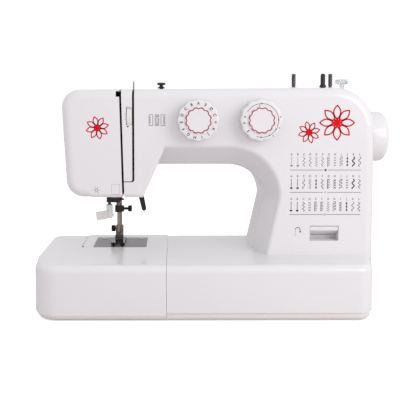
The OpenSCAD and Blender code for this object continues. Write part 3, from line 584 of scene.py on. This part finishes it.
# ---- bed: plan outline with rounded rims ----
def plan_outline():
    """Points round the bed seen from above, as (centre x, centre y, radius, angle)."""
    pts = []
    c = BED_CORNERS[::-1]
    n = len(c)
    for i in range(n):
        a, b, d = c[i - 1], c[i], c[(i + 1) % n]
        def out_angle(p, q):
            dx, dy = q[0] - p[0], q[1] - p[1]
            lean = max(-1, min(1, (p[2] - q[2]) / math.hypot(dx, dy)))
            return math.atan2(dy, dx) - math.pi / 2 + math.asin(lean)
        a0, a1 = out_angle(a, b), out_angle(b, d)
        while a1 < a0:
            a1 += 2 * math.pi
        while a1 - a0 > math.pi:
            a1 -= 2 * math.pi
        steps = max(2, int(math.degrees(a1 - a0) / 6))
        pts += [(b[0], b[1], b[2], a0 + (a1 - a0) * s / steps) for s in range(steps + 1)]
    return pts


def bed_solid(g):
    """The bed made smaller by g on every side, its bottom left edge rounded in the front view."""
    order = plan_outline()
    e1, e0 = BED_EDGE - g, BED_FOOT - g
    angles = [math.pi / 2 * i / 8 for i in range(9)]
    profile = [(e0 * (1 - math.sin(a)) + g, g + e0 * (1 - math.cos(a))) for a in angles]
    profile += [(e1 * (1 - math.cos(a)) + g, BED_TOP - g - e1 * (1 - math.sin(a))) for a in angles]
    k = len(profile)
    verts = [(cx + (r - inset) * math.cos(a), cy + (r - inset) * math.sin(a), z)
             for cx, cy, r, a in order for inset, z in profile]
    n = len(order)
    faces = [(i * k + j, ((i + 1) % n) * k + j, ((i + 1) % n) * k + j + 1, i * k + j + 1)
             for i in range(n) for j in range(k - 1)]
    faces += [[i * k for i in range(n)], [i * k + k - 1 for i in range(n)]]
    bed = solid("bed", verts, faces)
    cx = BED_CORNER - BED_LEFT
    turns = [math.radians(180 + 90 * i / 16) for i in range(17)]
    round_off = [(cx + (BED_CORNER - g) * math.cos(a), BED_CORNER + (BED_CORNER - g) * math.sin(a))
                 for a in turns]
    slab = front_prism(round_off + [(FAR, g), (FAR, BED_TOP + 2), (g - BED_LEFT, BED_TOP + 2)], (-DEEP, DEEP))
    return keep(bed, slab)


def arm_block(g):
    """The whole arm outline as one solid, used for the foot of the pillar."""
    pts = []
    for x, z, r in ARM_CORNERS:
        for i in range(48):
            a = 2 * math.pi * i / 48
            for j in range(7):
                b = math.pi / 2 * j / 6
                e = ARM_EDGE - g
                k = r - g - e * (1 - math.cos(b))
                pts.append((x + k * math.cos(a), FRONT + g + e * (1 - math.sin(b)), z + k * math.sin(a)))
                pts.append((x + k * math.cos(a), REAR - g - e * (1 - math.sin(b)), z + k * math.sin(a)))
    mesh = bpy.data.meshes.new("hull")
    bm = bmesh.new()
    for p in pts:
        bm.verts.new([c * MM for c in p])
    done = bmesh.ops.convex_hull(bm, input=bm.verts)
    inside = [g for g in done["geom_interior"] if isinstance(g, bmesh.types.BMVert)]
    bmesh.ops.delete(bm, geom=inside, context="VERTS")
    bmesh.ops.dissolve_limit(bm, angle_limit=0.002, verts=bm.verts, edges=bm.edges)
    bm.to_mesh(mesh)
    bm.free()
    return link("hull", mesh)


def side_window(y, z, r):
    pts = []
    for cy, cz, a0 in ((y[1] - r, z[1] - r, 0), (y[0] + r, z[1] - r, 90), (y[0] + r, z[0] + r, 180),
                       (y[1] - r, z[0] + r, 270)):
        pts += [(cy + r * math.cos(math.radians(a0 + 15 * i)), cz + r * math.sin(math.radians(a0 + 15 * i)))
                for i in range(7)]
    return side_prism(pts, (150, 190))


def build_bed():
    base = bed_solid(0)
    riser = keep(arm_block(COVER_GAP), block((70, 200), (-DEEP, DEEP), (0, BED_TOP)))
    boolean(base, riser, "UNION")
    cut(base, keep(bed_solid(WALL), block((SEAM_X + 3, 200), (-DEEP, DEEP), (-20, 100))))
    cut(base, keep(arm_block(WALL + 0.3), block((80, 200), (-28, 70), (20, BED_TOP + 10))))
    under_pillar = block((60, 166), (-28, 70), (40, 80))
    left_of_seam = block((-FAR, SEAM_X + TABLE_GAP), (-DEEP, DEEP), (-20, 100))
    below_tray_edge = block((-FAR, FAR), (-DEEP, DEEP), (-20, 10))
    free_arm_way = block((SEAM_X - 5, SEAM_X + 10), (7, 71), (16.6, 58))
    switch_window = side_window((-5, 15), (24, 42), 1.5)
    inlet_window = side_window((32, 54), (24, 42), 2.5)
    cut(base, under_pillar, left_of_seam, below_tray_edge, free_arm_way, switch_window, inlet_window)
    finish_piece(base, "base_cover_skin", "machine", "white_plastic", ["base_cover"])

    table = bed_solid(0)
    inside = cut(bed_solid(WALL), block((-165, 0), (1.5, 100), (6, 80)))
    cut(inside, cut(block((-150.6, -70), (-78, 20), (9, 57)), block((-300, 0), (-200, -77), (0, 80))))
    free_arm_bay = block((-162.4, 0), (4.1, 100), (6, 80))
    right_of_seam = block((SEAM_X - TABLE_GAP, FAR), (-DEEP, DEEP), (-20, 100))
    below_tray_edge = block((-FAR, FAR), (-DEEP, DEEP), (-20, 6.8))
    door_hinge, door_way = rod("y", -205.6, 21, (9, 63), 1.6), block((-215, -200), (11.6, 60.4), (18.2, 50.4))
    cut(table, inside, free_arm_bay, right_of_seam, below_tray_edge, door_hinge, door_way)
    finish_piece(table, "extension_table_skin", "extension_table", "white_plastic", ["extension_table"])


build_bed()

# ---- dials ----
DIAL_WAVES, DIAL_STEPS = 12, 288


def wave(depth, mean_r):
    """Rim that swings between its full radius and one smaller by depth."""
    return lambda a, r, w: 1 + depth / 2 * (math.cos(DIAL_WAVES * a) - 1) / mean_r


def build_dial(node, body):
    lo, hi = box_mm(node)
    cx, cz = (lo[0] + hi[0]) / 2, (lo[2] + hi[2]) / 2
    face, back = lo[1], FRONT - 0.5
    r = (hi[0] - lo[0]) / 2
    rim = round_profile(r, back, face + 1.6, 0.6, 1.7)
    rim += [(r - 4.2, face + 1.35), (r - 7.0, face + 1.5)]
    skirt = lathe("skirt", rim, "y", (cx, cz), DIAL_STEPS, lobes=wave(1.0, 23.0))
    cap_r = r - 8.1
    cap = [(cap_r, face + 1.9), (cap_r, face + 0.75)]
    cap += [(cap_r - 0.75 + 0.75 * math.cos(a), face + 0.75 - 0.75 * math.sin(a))
            for a in (math.radians(d) for d in (15, 30, 45, 60, 75, 90))]
    cap += [(cap_r - 3, face + 0.05), (cap_r - 7, face + 0.22), (2.0, face + 0.3)]
    top = lathe("cap", cap, "y", (cx, cz), DIAL_STEPS, lobes=wave(1.4, 15))
    spindle = lathe("spindle", [(3.5, back + 0.2), (3.5, hi[1])], "y", (cx, cz), 48)
    finish_piece(merge("dial", [skirt, top, spindle]), node + "_skin", body, "white_plastic", [node],
                 angle=50)
    return cx, cz, face


# ---- prints: thin raised ink ----
class Ink:
    """Collects thin strips, dots and letters that lie on a surface; place(u, v, w) puts them in space."""

    def __init__(self, place, surface, rise=0.05, sink=0.04):
        self.place, self.top, self.low = place, surface - rise, surface + sink
        self.verts, self.faces = [], []

    def outline(self, points, lift=0.0):
        base, n = len(self.verts), len(points)
        self.verts += [self.place(u, v, self.top - lift) for u, v in points]
        self.verts += [self.place(u, v, self.low) for u, v in points]
        self.faces += [[base + i for i in range(n)], [base + 2 * n - 1 - i for i in range(n)]]
        self.faces += [(base + i, base + (i + 1) % n, base + n + (i + 1) % n, base + n + i) for i in range(n)]

    def strip(self, points, width, closed=False):
        pts = np.array(points, float)
        n = len(pts)
        left, right = [], []
        for i in range(n):
            before = pts[i - 1] if (i or closed) else pts[i]
            after = pts[(i + 1) % n] if (i < n - 1 or closed) else pts[i]
            d0, d1 = pts[i] - before, after - pts[i]
            d0 = d0 / (np.linalg.norm(d0) or 1)
            d1 = d1 / (np.linalg.norm(d1) or 1)
            d = d0 + d1
            d = d / (np.linalg.norm(d) or 1)
            ref = d1 if np.linalg.norm(d1) else d0
            k = min(1.8, 1 / max(0.3, abs(float(np.dot(d, ref)))))
            side = np.array([-d[1], d[0]]) * width / 2 * k
            left.append(pts[i] + side)
            right.append(pts[i] - side)
        base = len(self.verts)
        for ring in (left, right):
            for level in (self.top, self.low):
                self.verts += [self.place(float(u), float(v), level) for u, v in ring]
        lt, ll, rt, rl = (base + n * k for k in range(4))
        last = n if closed else n - 1
        for i in range(last):
            j = (i + 1) % n
            self.faces += [(lt + i, lt + j, rt + j, rt + i), (ll + i, rl + i, rl + j, ll + j),
                           (lt + i, ll + i, ll + j, lt + j), (rt + i, rt + j, rl + j, rl + i)]
        if not closed:
            for i in (0, n - 1):
                self.faces.append((lt + i, rt + i, rl + i, ll + i))

    def dot(self, u, v, r, n=20, lift=0.0):
        self.outline(circle(r, n, u, v), lift)

    def ring(self, u, v, r, width, n=32):
        self.strip(circle(r, n, u, v), width, closed=True)

    def letter(self, char, u, v, size, turn=0.0):
        verts, faces = glyph(char)
        base = len(self.verts)
        c, s = math.cos(turn) * size, math.sin(turn) * size
        for x, y, front in verts:
            level = self.top if front else self.low
            self.verts.append(self.place(u + x * c - y * s, v + x * s + y * c, level))
        self.faces += [[base + i for i in f] for f in faces]

    def piece(self, name, body, mat):
        return finish_piece(solid(name, self.verts, self.faces), name, body, None, mat=mat, weighted=False)


_glyphs = {}


def glyph(char):
    if char not in _glyphs:
        curve = bpy.data.curves.new("glyph", "FONT")
        curve.body, curve.size, curve.extrude, curve.resolution_u, curve.offset = char, 1.0, 0.1, 3, 0.026
        curve.align_x, curve.align_y = "CENTER", "CENTER"
        obj = link("glyph", curve)
        graph = bpy.context.evaluated_depsgraph_get()
        mesh = bpy.data.meshes.new_from_object(obj.evaluated_get(graph))
        _glyphs[char] = ([(v.co.x, v.co.y, v.co.z > 0) for v in mesh.vertices],
                         [list(p.vertices) for p in mesh.polygons])
        bpy.data.objects.remove(obj)
        bpy.data.curves.remove(curve)
        bpy.data.meshes.remove(mesh)
    return _glyphs[char]


ON_FRONT = AXIS_PLACE["y"]


def flower(ink, centre_ink, cx, cz, r, turn, width):
    """Daisy of eight petal outlines with a filled star in its middle."""
    heart = []
    for k in range(8):
        a = turn + k * math.pi / 4
        along = np.array([math.cos(a), math.sin(a)])
        across = np.array([-along[1], along[0]])
        side = []
        for i in range(13):
            t = i / 12
            half = 0.205 * r * math.sin(math.pi * t ** 1.15) ** 0.9 if 0 < t < 1 else 0.0
            side.append((0.16 + 0.84 * t, half))
        pts = [along * r * t + across * h for t, h in side]
        pts += [along * r * t - across * h for t, h in side[-2:0:-1]]
        ink.strip([p + (cx, cz) for p in pts], width, closed=True)
        heart += [(cx, cz) + along * r * 0.36, (cx, cz) + (along * math.cos(math.pi / 8)
                  + across * math.sin(math.pi / 8)) * r * 0.19]
    centre_ink.outline(heart, lift=0.06)


def stitch(ink, kind, x, z0, z1, w=0.58):
    """One small stitch drawing between two heights."""
    def run(offsets, width=w):
        n = len(offsets) - 1
        ink.strip([(x + o, z1 + (z0 - z1) * i / n) for i, o in enumerate(offsets)], width)
    if kind in ("line", "bold"):
        k = w if kind == "line" else 1.5 * w
        for i in range(6):
            a = z1 - (z1 - z0 - 2.4) * i / 6
            ink.strip([(x, a), (x, a - 1.0)], k)
        for side in (-1.1, 0, 1.1):
            ink.strip([(x + side, z0 + 1.4), (x + side * 0.4, z0)], k)
        ink.strip([(x - 1.4, z0 + 1.5), (x + 1.4, z0 + 1.5)], k)
    elif kind == "zig":
        run([-1.2, 1.2] * 3)
    elif kind == "dense":
        run([-1.3, 1.3] * 5, 0.75 * w)
    elif kind == "steps":
        run([-1.3, 0, 1.3, 0] * 3)
    elif kind == "wave":
        run([1.3 * math.sin(i * 0.55) for i in range(24)])
    elif kind == "bold_wave":
        run([1.2 * math.sin(i * 0.5) for i in range(24)], 2.2 * w)
    elif kind == "square":
        for i in range(3):
            a = z1 - (z1 - z0) * i / 3
            d = (z1 - z0) / 6
            ink.strip([(x - 1.3, a), (x + 1.3, a), (x + 1.3, a - d), (x - 1.3, a - d),
                       (x - 1.3, a - 2 * d)], w)
    elif kind == "ladder":
        ink.strip([(x - 1.2, z1), (x - 1.2, z0)], w)
        for i in range(6):
            a = z1 - (z1 - z0) * (i + 0.5) / 6
            ink.strip([(x - 1.2, a), (x + 1.4, a + 1.0)], w)
    elif kind == "chevrons":
        for i in range(4):
            a = z1 - (z1 - z0) * (i + 0.5) / 4
            ink.strip([(x - 1.3, a + 0.8), (x, a - 0.6), (x + 1.3, a + 0.8)], w)
    elif kind == "arrows":
        ink.strip([(x, z1), (x, z0)], w)
        for i in range(3):
            a = z1 - (z1 - z0) * i / 3
            ink.outline([(x, a), (x - 1.2, a - 2.6), (x + 1.2, a - 2.6)])
    elif kind == "crosses":
        for i in range(4):
            a = z1 - (z1 - z0) * (i + 0.5) / 4
            ink.strip([(x - 1.2, a + 1), (x + 1.2, a - 1)], w)
            ink.strip([(x - 1.2, a - 1), (x + 1.2, a + 1)], w)


STITCH_ROWS = (
    ("line", "line", "zig", "zig", "dense", "zig",
     "ladder", "chevrons", "square", "arrows", "bold_wave", "wave"),
    ("bold", "bold", "wave", "dense", "arrows", "steps",
     "ladder", "crosses", "square", "chevrons", "bold_wave", "zig"),
    ("bold", "bold", "steps", "chevrons", "ladder", "ladder",
     "dense", "square", "crosses", "arrows", "wave", "steps"),
)
CHART_X, CHART_STEP = 79.6, 6.95
CHART_Z = ((175.4, 172.8, 161.7, 157.8), (150.8, 147.6, 136.4, 132.6), (125.0, 121.9, 110.9, 107.4))


def build_prints():
    red, heart = Ink(ON_FRONT, FRONT), Ink(ON_FRONT, FRONT)
    flower(red, heart, 130, 211, 19.3, math.pi / 2, 1.5)
    flower(red, heart, 98.8, 200.2, 12.0, math.radians(14.6), 1.15)
    flower(red, heart, -138, 205.3, 12.6, math.radians(14.6), 1.2)
    red.piece("printed_flowers", "machine", INK["red"])
    heart.piece("printed_flower_hearts", "machine", INK["bright"])

    dark, grey, pale = Ink(ON_FRONT, FRONT), Ink(ON_FRONT, FRONT), Ink(ON_FRONT, FRONT, 0.03)
    for row, (z_letter, z_high, z_low, z_line) in enumerate(CHART_Z):
        for col, kind in enumerate(STITCH_ROWS[row]):
            x = CHART_X + CHART_STEP * col
            grey.letter("ABCDEFGHIJKL"[col], x, z_letter, 3.2)
            stitch(dark if row or col > 8 else grey, kind, x, z_low, z_high)
        reach = 5.5 * CHART_STEP + 1.8
        middle = CHART_X + 5.5 * CHART_STEP
        for side in (-1, 1):
            grey.strip([(middle + side * 2.6, z_line), (middle + side * reach, z_line)], 0.6)
        if row == 0:
            dark.dot(middle, z_line, 1.25)
        for k in range(row):
            grey.ring(middle + (k - (row - 1) / 2) * 2.0, z_line, 0.8, 0.35, 16)

    # buttonhole signs
    z0, z1 = 207.9, 219.9
    for k, (x0, x1) in enumerate(((-80.2, -76.0), (-73.3, -69.3), (-66.9, -62.6))):
        grey.strip([(x0, z0), (x1, z0), (x1, z1), (x0, z1)], 0.55, closed=True)
        mid = (x0 + x1) / 2
        if k == 1:
            dark.strip([(x0 + 0.9, z0 + 1.6), (x1 - 0.9, z0 + 1.6)], 1.0)
            dark.strip([(x0 + 0.9, z1 - 1.6), (x1 - 0.9, z1 - 1.6)], 1.0)
            grey.strip([(mid + 1.1 * math.cos(t), (z0 + z1) / 2 + 3.0 * math.sin(t))
                        for t in (math.pi * i / 8 for i in range(16))], 0.45, closed=True)
        else:
            side = -1.0 if k == 0 else 1.0
            grey.strip([(mid + side + 0.45 * (-1) ** i, z1 - 1.4 - 1.15 * i) for i in range(9)], 0.5)

    # arrow that turns back, beside the reverse lever
    bow = [(87.4 - 2.7 * math.cos(t), 90.0 + 2.7 * math.sin(t))
           for t in (math.pi * i / 12 for i in range(13))]
    dark.strip(bow + [(90.1, 87.8)], 0.7)
    dark.outline([(88.9, 88.4), (91.3, 88.4), (90.1, 86.4)])
    for i in range(3):
        grey.strip([(84.7, 88.6 - 2.2 * i), (84.7, 87.4 - 2.2 * i)], 0.5)

    # lamp sign, tension window frame and guide lines
    x, z = -139.5, 135.2
    grey.ring(x, z, 1.5, 0.5, 20)
    for a in range(0, 360, 60):
        t = math.radians(a)
        grey.strip([(x + r * math.cos(t), z + r * math.sin(t)) for r in (2.4, 3.6)], 0.5)
    pale.strip([(-122.6, 130.4), (-113.6, 130.4), (-113.6, 141.8), (-122.6, 141.8)], 0.3, closed=True)
    grey.strip([(-106.4, 228.6), (-101.6, 228.6)], 0.45)
    grey.strip([(-106.9, 222), (-106.9, 214)], 0.35)
    dark.outline([(-105.6, 207.3), (-102.4, 207.3), (-104.0, 205.6)])
    dark.piece("printed_signs", "machine", INK["black"])
    grey.piece("printed_chart", "machine", INK["grey"])
    pale.piece("printed_guides", "machine", INK["pale"])


def dial_prints(node, body, cx, cz, face):
    marks = Ink(ON_FRONT, face + 1.38)
    scale_r = 18.4
    def at(deg, r=18.6):
        t = math.radians(deg)
        return cx + r * math.cos(t), cz + r * math.sin(t)
    if node == "pattern_dial":
        for k, char in enumerate("ABCDEFGHIJK"):
            deg = 90 + 24 * k
            marks.letter(char, *at(deg), 4.3, math.radians(deg - 90))
        for k, char in enumerate("3DC="):
            deg = 66 - 24 * k
            marks.letter(char, *at(deg), 4.6, math.radians(deg - 90))
    else:
        marks.strip([at(150 - 6 * i, scale_r) for i in range(44)], 0.5)
        for deg, char in ((90, "0"), (2, "4"), (-32, "3"), (-62, "2"), (-92, "1")):
            marks.dot(*at(deg, scale_r), 0.75, 12)
            marks.letter(char, *at(deg + 9, 16.3 if char == "0" else 20.9), 2.4, math.radians(deg - 90))
        for deg, char in ((218, "S"), (188, "F"), (168, "=")):
            marks.letter(char, *at(deg), 3.8, math.radians(deg - 90))
    marks.piece(node + "_marks", body, INK["black"])
    ring = Ink(ON_FRONT, face + 0.12, rise=0.2, sink=0.3)
    ring.strip([at(i, 13.95 - 1.15 * abs(math.cos(math.radians(6 * i))) ** 3) for i in range(0, 360, 2)], 1.0,
               closed=True)
    ring.piece(node + "_ring", body, INK["ruby"])


for dial in ("pattern_dial", "length_dial"):
    dial_prints(dial, dial, *build_dial(dial, dial))
build_prints()


# ---- handwheel ----
def build_wheel():
    lo, hi = box_mm("handwheel")
    r, end = (hi[1] - lo[1]) / 2, hi[0]
    centre = (SHAFT_Y, SHAFT_Z)
    shell = [(4.1, 176.0), (r - 2.2, 176.0), (r - 1.2, 176.35), (r - 0.6, 177.4), (r - 0.5, 178.8),
             (r - 0.5, 179.2), (r - 0.9, 179.5), (r - 0.9, 179.9), (r - 0.4, 180.2), (r, 186.0)]
    shell += [(r - 7.7 + 7.5 * math.cos(math.radians(a)), end - 7.5 + 7.5 * math.sin(math.radians(a)))
              for a in range(0, 91, 9)]
    shell += [(19.4, end), (18.7, end - 0.3), (18.2, end - 1.2), (18, end - 4), (6.1, end - 4)]
    rim = lathe("rim", shell, "x", centre, 192)
    hub = lathe("hub", [(4.1, 161), (8.2, 161), (8.2, 177)], "x", centre, 64)
    pulley = lathe("pulley", [(4.1, 154), (26.6, 154), (27, 154.4), (27, 155.2), (25.6, 155.5), (25.6, 160.5),
                              (27, 160.8), (27, 161.6), (26.6, 162), (4.1, 162)], "x", centre, 128)
    finish_piece(merge("wheel", [rim, hub, pulley]), "handwheel_skin", "handwheel", "white_plastic",
                 ["handwheel"])
    knob = [(6, end - 10), (6, end - 3.6), (16.4, end - 3.6), (17.1, end - 3.0), (17.3, end - 2.4),
            (16.6, end - 0.9), (15.6, end - 0.15), (15, end), (10, end - 0.35), (9, end - 0.6), (3, end - 1)]
    face = lathe("knob", knob, "x", centre, 128)
    finish_piece(face, "clutch_knob_skin", "clutch_knob", "white_plastic", ["clutch_knob"])


build_wheel()


# ---- reverse lever ----
def build_lever():
    x0, x1 = REV_X[0] + 0.5, REV_X[1] - 0.5
    side = [(-21.8, 82.4), (-20.9, 87), (-20.9, 93.8), (-33.4, 93.8), (-34.3, 93.5), (-34.7, 92.8),
            (-34.7, 90.0), (-34.3, 89.0), (-33.4, 88.2), (-23, 82.4)]
    paddle = side_prism(side, (x0, x1))
    arm = block((108.5, 126), (-21.5, 4), (86, 90.4))
    pivot = rod("x", 0, 88, (102.8, 131.8), 2.15)
    boolean(paddle, arm, "UNION")
    boolean(paddle, pivot, "UNION")
    soften(finish_piece(paddle, "reverse_lever_skin", "reverse_lever", "white_plastic", ["reverse_lever"],
                        weighted=False), 0.4)


def soften(obj, width, segments=3, limit=38):
    """Small rounded edges, then smooth shading that keeps flat faces flat."""
    weld = obj.modifiers.new("weld", "WELD")
    weld.merge_threshold = 0.00001
    flat = obj.modifiers.new("flat", "DECIMATE")
    flat.decimate_type = "DISSOLVE"
    flat.angle_limit = math.radians(0.4)
    mod = obj.modifiers.new("soft", "BEVEL")
    mod.width = width * MM
    mod.segments = segments
    mod.limit_method = "ANGLE"
    mod.angle_limit = math.radians(limit)
    mod.harden_normals = False
    mod = obj.modifiers.new("normals", "WEIGHTED_NORMAL")
    mod.keep_sharp = False
    mod.weight = 80
    return obj


build_lever()


def build_small_parts():
    # painted shade: a black plate behind the left threading slot stands in for the shade inside the slot
    shade_plate = block((-113.8, -106.2), (-5.2, -4.4), (127.6, 244))
    finish_piece(shade_plate, "slot_painted_shade", "machine", "black_plastic")

    # thread guide that hangs from the edge of the opening under the head
    guide = [(-118, 113.6), (-111.9, 114.9), (-115.5, 117.2), (-115.5, 125), (-104.8, 125), (-104.8, 128.9),
             (-118, 128.9)]
    finish_piece(front_prism(guide, (23.6, 24.8)), "bar_thread_guide", "machine", "black_metal")

    for side in ("left", "right"):
        node = "spool_pin_" + side
        lo, hi = box_mm(node)
        c, r, top = (lo + hi)[:2] / 2, (hi[0] - lo[0]) / 2, hi[2]
        profile = [(r, lo[2]), (r, 251.8), (r - 0.5, 251.9), (r - 0.5, 252.8), (r, 252.9), (r, top - 3.4),
                   (r - 0.25, top - 3.2), (r - 0.25, top - 2.9), (r, top - 2.7), (r, top - 0.9),
                   (r - 0.25, top - 0.35), (r - 0.8, top), (0.4, top + 0.1)]
        pin = lathe("pin", profile, "z", c, 48)
        finish_piece(pin, node + "_skin", node, "chrome", [node], mat=MAT["dark_chrome"])

    lo, hi = box_mm("winder_stop")
    c, top = (lo + hi)[:2] / 2, hi[2]
    r = (hi[0] - lo[0]) / 2
    profile = [(2.6, lo[2]), (2.6, top - 6.2), (3.2, top - 5.7), (r - 0.9, top - 4.9), (r - 0.2, top - 4.2),
               (r, top - 3.4), (r, top - 1.4), (r - 0.25, top - 0.6), (r - 0.9, top - 0.1), (r - 1.6, top),
               (2.0, top - 0.4), (0.3, top - 0.5)]
    ribs = lambda a, r, w: 1 + 0.012 * math.cos(24 * a) * (w > top - 5)
    finish_piece(lathe("stop", profile, "z", c, 96, lobes=ribs), "winder_stop_skin", "machine",
                 "clear_plastic", ["winder_stop"])

    lo, hi = box_mm("winder_thread_guide")
    c, top = (lo + hi)[:2] / 2, hi[2]
    profile = [(2.0, lo[2]), (2.0, top - 6.9), (4.0, top - 6.8), (4.1, top - 6.3), (3.5, top - 5.2),
               (2.0, top - 4.3), (1.9, top - 3.4), (4.2, top - 2.7), (4.8, top - 2.0), (4.85, top - 1.2),
               (4.5, top - 0.5), (3.4, top), (0.4, top + 0.1)]
    ribs = lambda a, r, w: 1 + 0.03 * math.cos(18 * a) * (r > 3.9)
    finish_piece(lathe("guide", profile, "z", c, 72, lobes=ribs), "winder_guide_skin", "machine",
                 "black_plastic", ["winder_thread_guide"], mat=MAT["black_gloss"])


build_small_parts()

# ---- CAD nodes that stay get their slot's finish and smooth shading ----
SOFT_EDGES = {"carrying_handle": 1.6, "power_inlet": 0.4, "power_switch": 0.6, "base_tray": 0.4,
              "table_tray": 0.4, "free_arm_cover": 0.3, "shuttle_door": 0.4, "accessory_door": 0.4,
              "foot_holder": 0.4,
              "presser_foot": 0.2, "needle_threader": 0.5, "threader_rod": 0.4,
              "presser_foot_lifter": 0.8, "needle_clamp": 0.35, "needle_clamp_screw": 0.3,
              "foot_holder_screw": 0.3, "take_up_lever": 0.25, "winder_carriage": 0.5, "small_fixings": 0.3,
              "motor": 0.8, "arm_frame": 0.5, "bed_frame": 0.5, "needle_bar_frame": 0.4,
              "spool_pin_sleeves": 0.4}
LOOKS = {"presser_bar": "bar_steel", "needle_bar": "bar_steel", "foot_holder": "bar_steel",
         "presser_foot": "dark_chrome", "small_fixings": "fixings"}
for row in RECORD["subparts"]:
    obj = NODES[row["node"]]
    obj.data.materials.clear()
    obj.data.materials.append(MAT[LOOKS.get(row["node"], row["material_slot"])])
    if row["node"] != "needle_plate":
        soften(obj, SOFT_EDGES.get(row["node"], 0.1))

# ---- floor, light and camera ----
SKY = 0.84
FLOOR_GLOW = 0.50
FLOOR_HALF = 2600


def split_for_camera(tree, lighting, seen, output):
    """One shader lights the scene and the other is what the camera sees."""
    path = tree.nodes.new("ShaderNodeLightPath")
    both = tree.nodes.new("ShaderNodeMixShader")
    tree.links.new(path.outputs["Is Camera Ray"], both.inputs["Fac"])
    tree.links.new(lighting, both.inputs[1])
    tree.links.new(seen, both.inputs[2])
    tree.links.new(both.outputs["Shader"], tree.nodes[output].inputs["Surface"])


def stage():
    pts = [(a * FLOOR_HALF, b * FLOOR_HALF, 0) for a, b in ((-1, -1), (1, -1), (1, 1), (-1, 1))]
    floor = solid("studio_floor", pts, [(0, 1, 2, 3)])
    paper = material("floor_paper", (0.92, 0.92, 0.92), 0.9, vary=0.01, scale=3, bump=0.01)
    shader = paper.node_tree.nodes["Principled BSDF"]
    shader.inputs["Emission Color"].default_value = (1, 1, 1, 1)
    shader.inputs["Emission Strength"].default_value = FLOOR_GLOW
    tree = paper.node_tree
    dim = tree.nodes.new("ShaderNodeBsdfDiffuse")
    dim.inputs["Color"].default_value = (0.74, 0.69, 0.69, 1)
    split_for_camera(tree, dim.outputs["BSDF"], shader.outputs["BSDF"], "Material Output")
    shader.inputs["Specular IOR Level"].default_value = 0.1
    floor.data.materials.append(paper)
    world = bpy.data.worlds.new("studio")
    bpy.context.scene.world = world
    world.use_nodes = True
    tree = world.node_tree
    soft = tree.nodes["Background"]
    soft.inputs["Color"].default_value = (0.985, 0.985, 1.0, 1)
    soft.inputs["Strength"].default_value = SKY
    seen = tree.nodes.new("ShaderNodeBackground")
    seen.inputs["Color"].default_value = (1, 1, 1, 1)
    seen.inputs["Strength"].default_value = 1.05
    split_for_camera(tree, soft.outputs["Background"], seen.outputs["Background"], "World Output")


def lamp(name, place, aim, size, power, color=(1, 1, 1)):
    data = bpy.data.lights.new(name, "AREA")
    data.shape = "RECTANGLE"
    data.size, data.size_y = size
    data.energy = power
    data.color = color
    obj = bpy.data.objects.new(name, data)
    bpy.context.scene.collection.objects.link(obj)
    obj.location = (Vector(place) + Vector(SHIFT)) * MM
    look = (Vector(aim) + Vector(SHIFT)) * MM - obj.location
    obj.rotation_euler = look.to_track_quat("-Z", "Y").to_euler()


stage()
lamp("key", (700, -800, 540), (0, 0, 130), (0.7, 0.7), 4.3, (1, 0.99, 0.99))
lamp("fill", (-900, -900, 420), (0, 0, 120), (0.8, 0.8), 0.4, (1, 0.96, 0.98))

camera_data = bpy.data.cameras.new("camera")
camera = bpy.data.objects.new("camera", camera_data)
bpy.context.scene.collection.objects.link(camera)
camera_data.sensor_width = 36
camera_data.lens = 59.02
camera_data.shift_x, camera_data.shift_y = 0.06, -0.16
camera_data.clip_end = 20
camera.location = (Vector((-52.6, -767.4, 242.8)) + Vector(SHIFT)) * MM
camera.rotation_euler = (math.radians(90 - 3.647), 0, math.radians(-0.197))
bpy.context.scene.camera = camera
bpy.context.scene.view_settings.view_transform = "Standard"
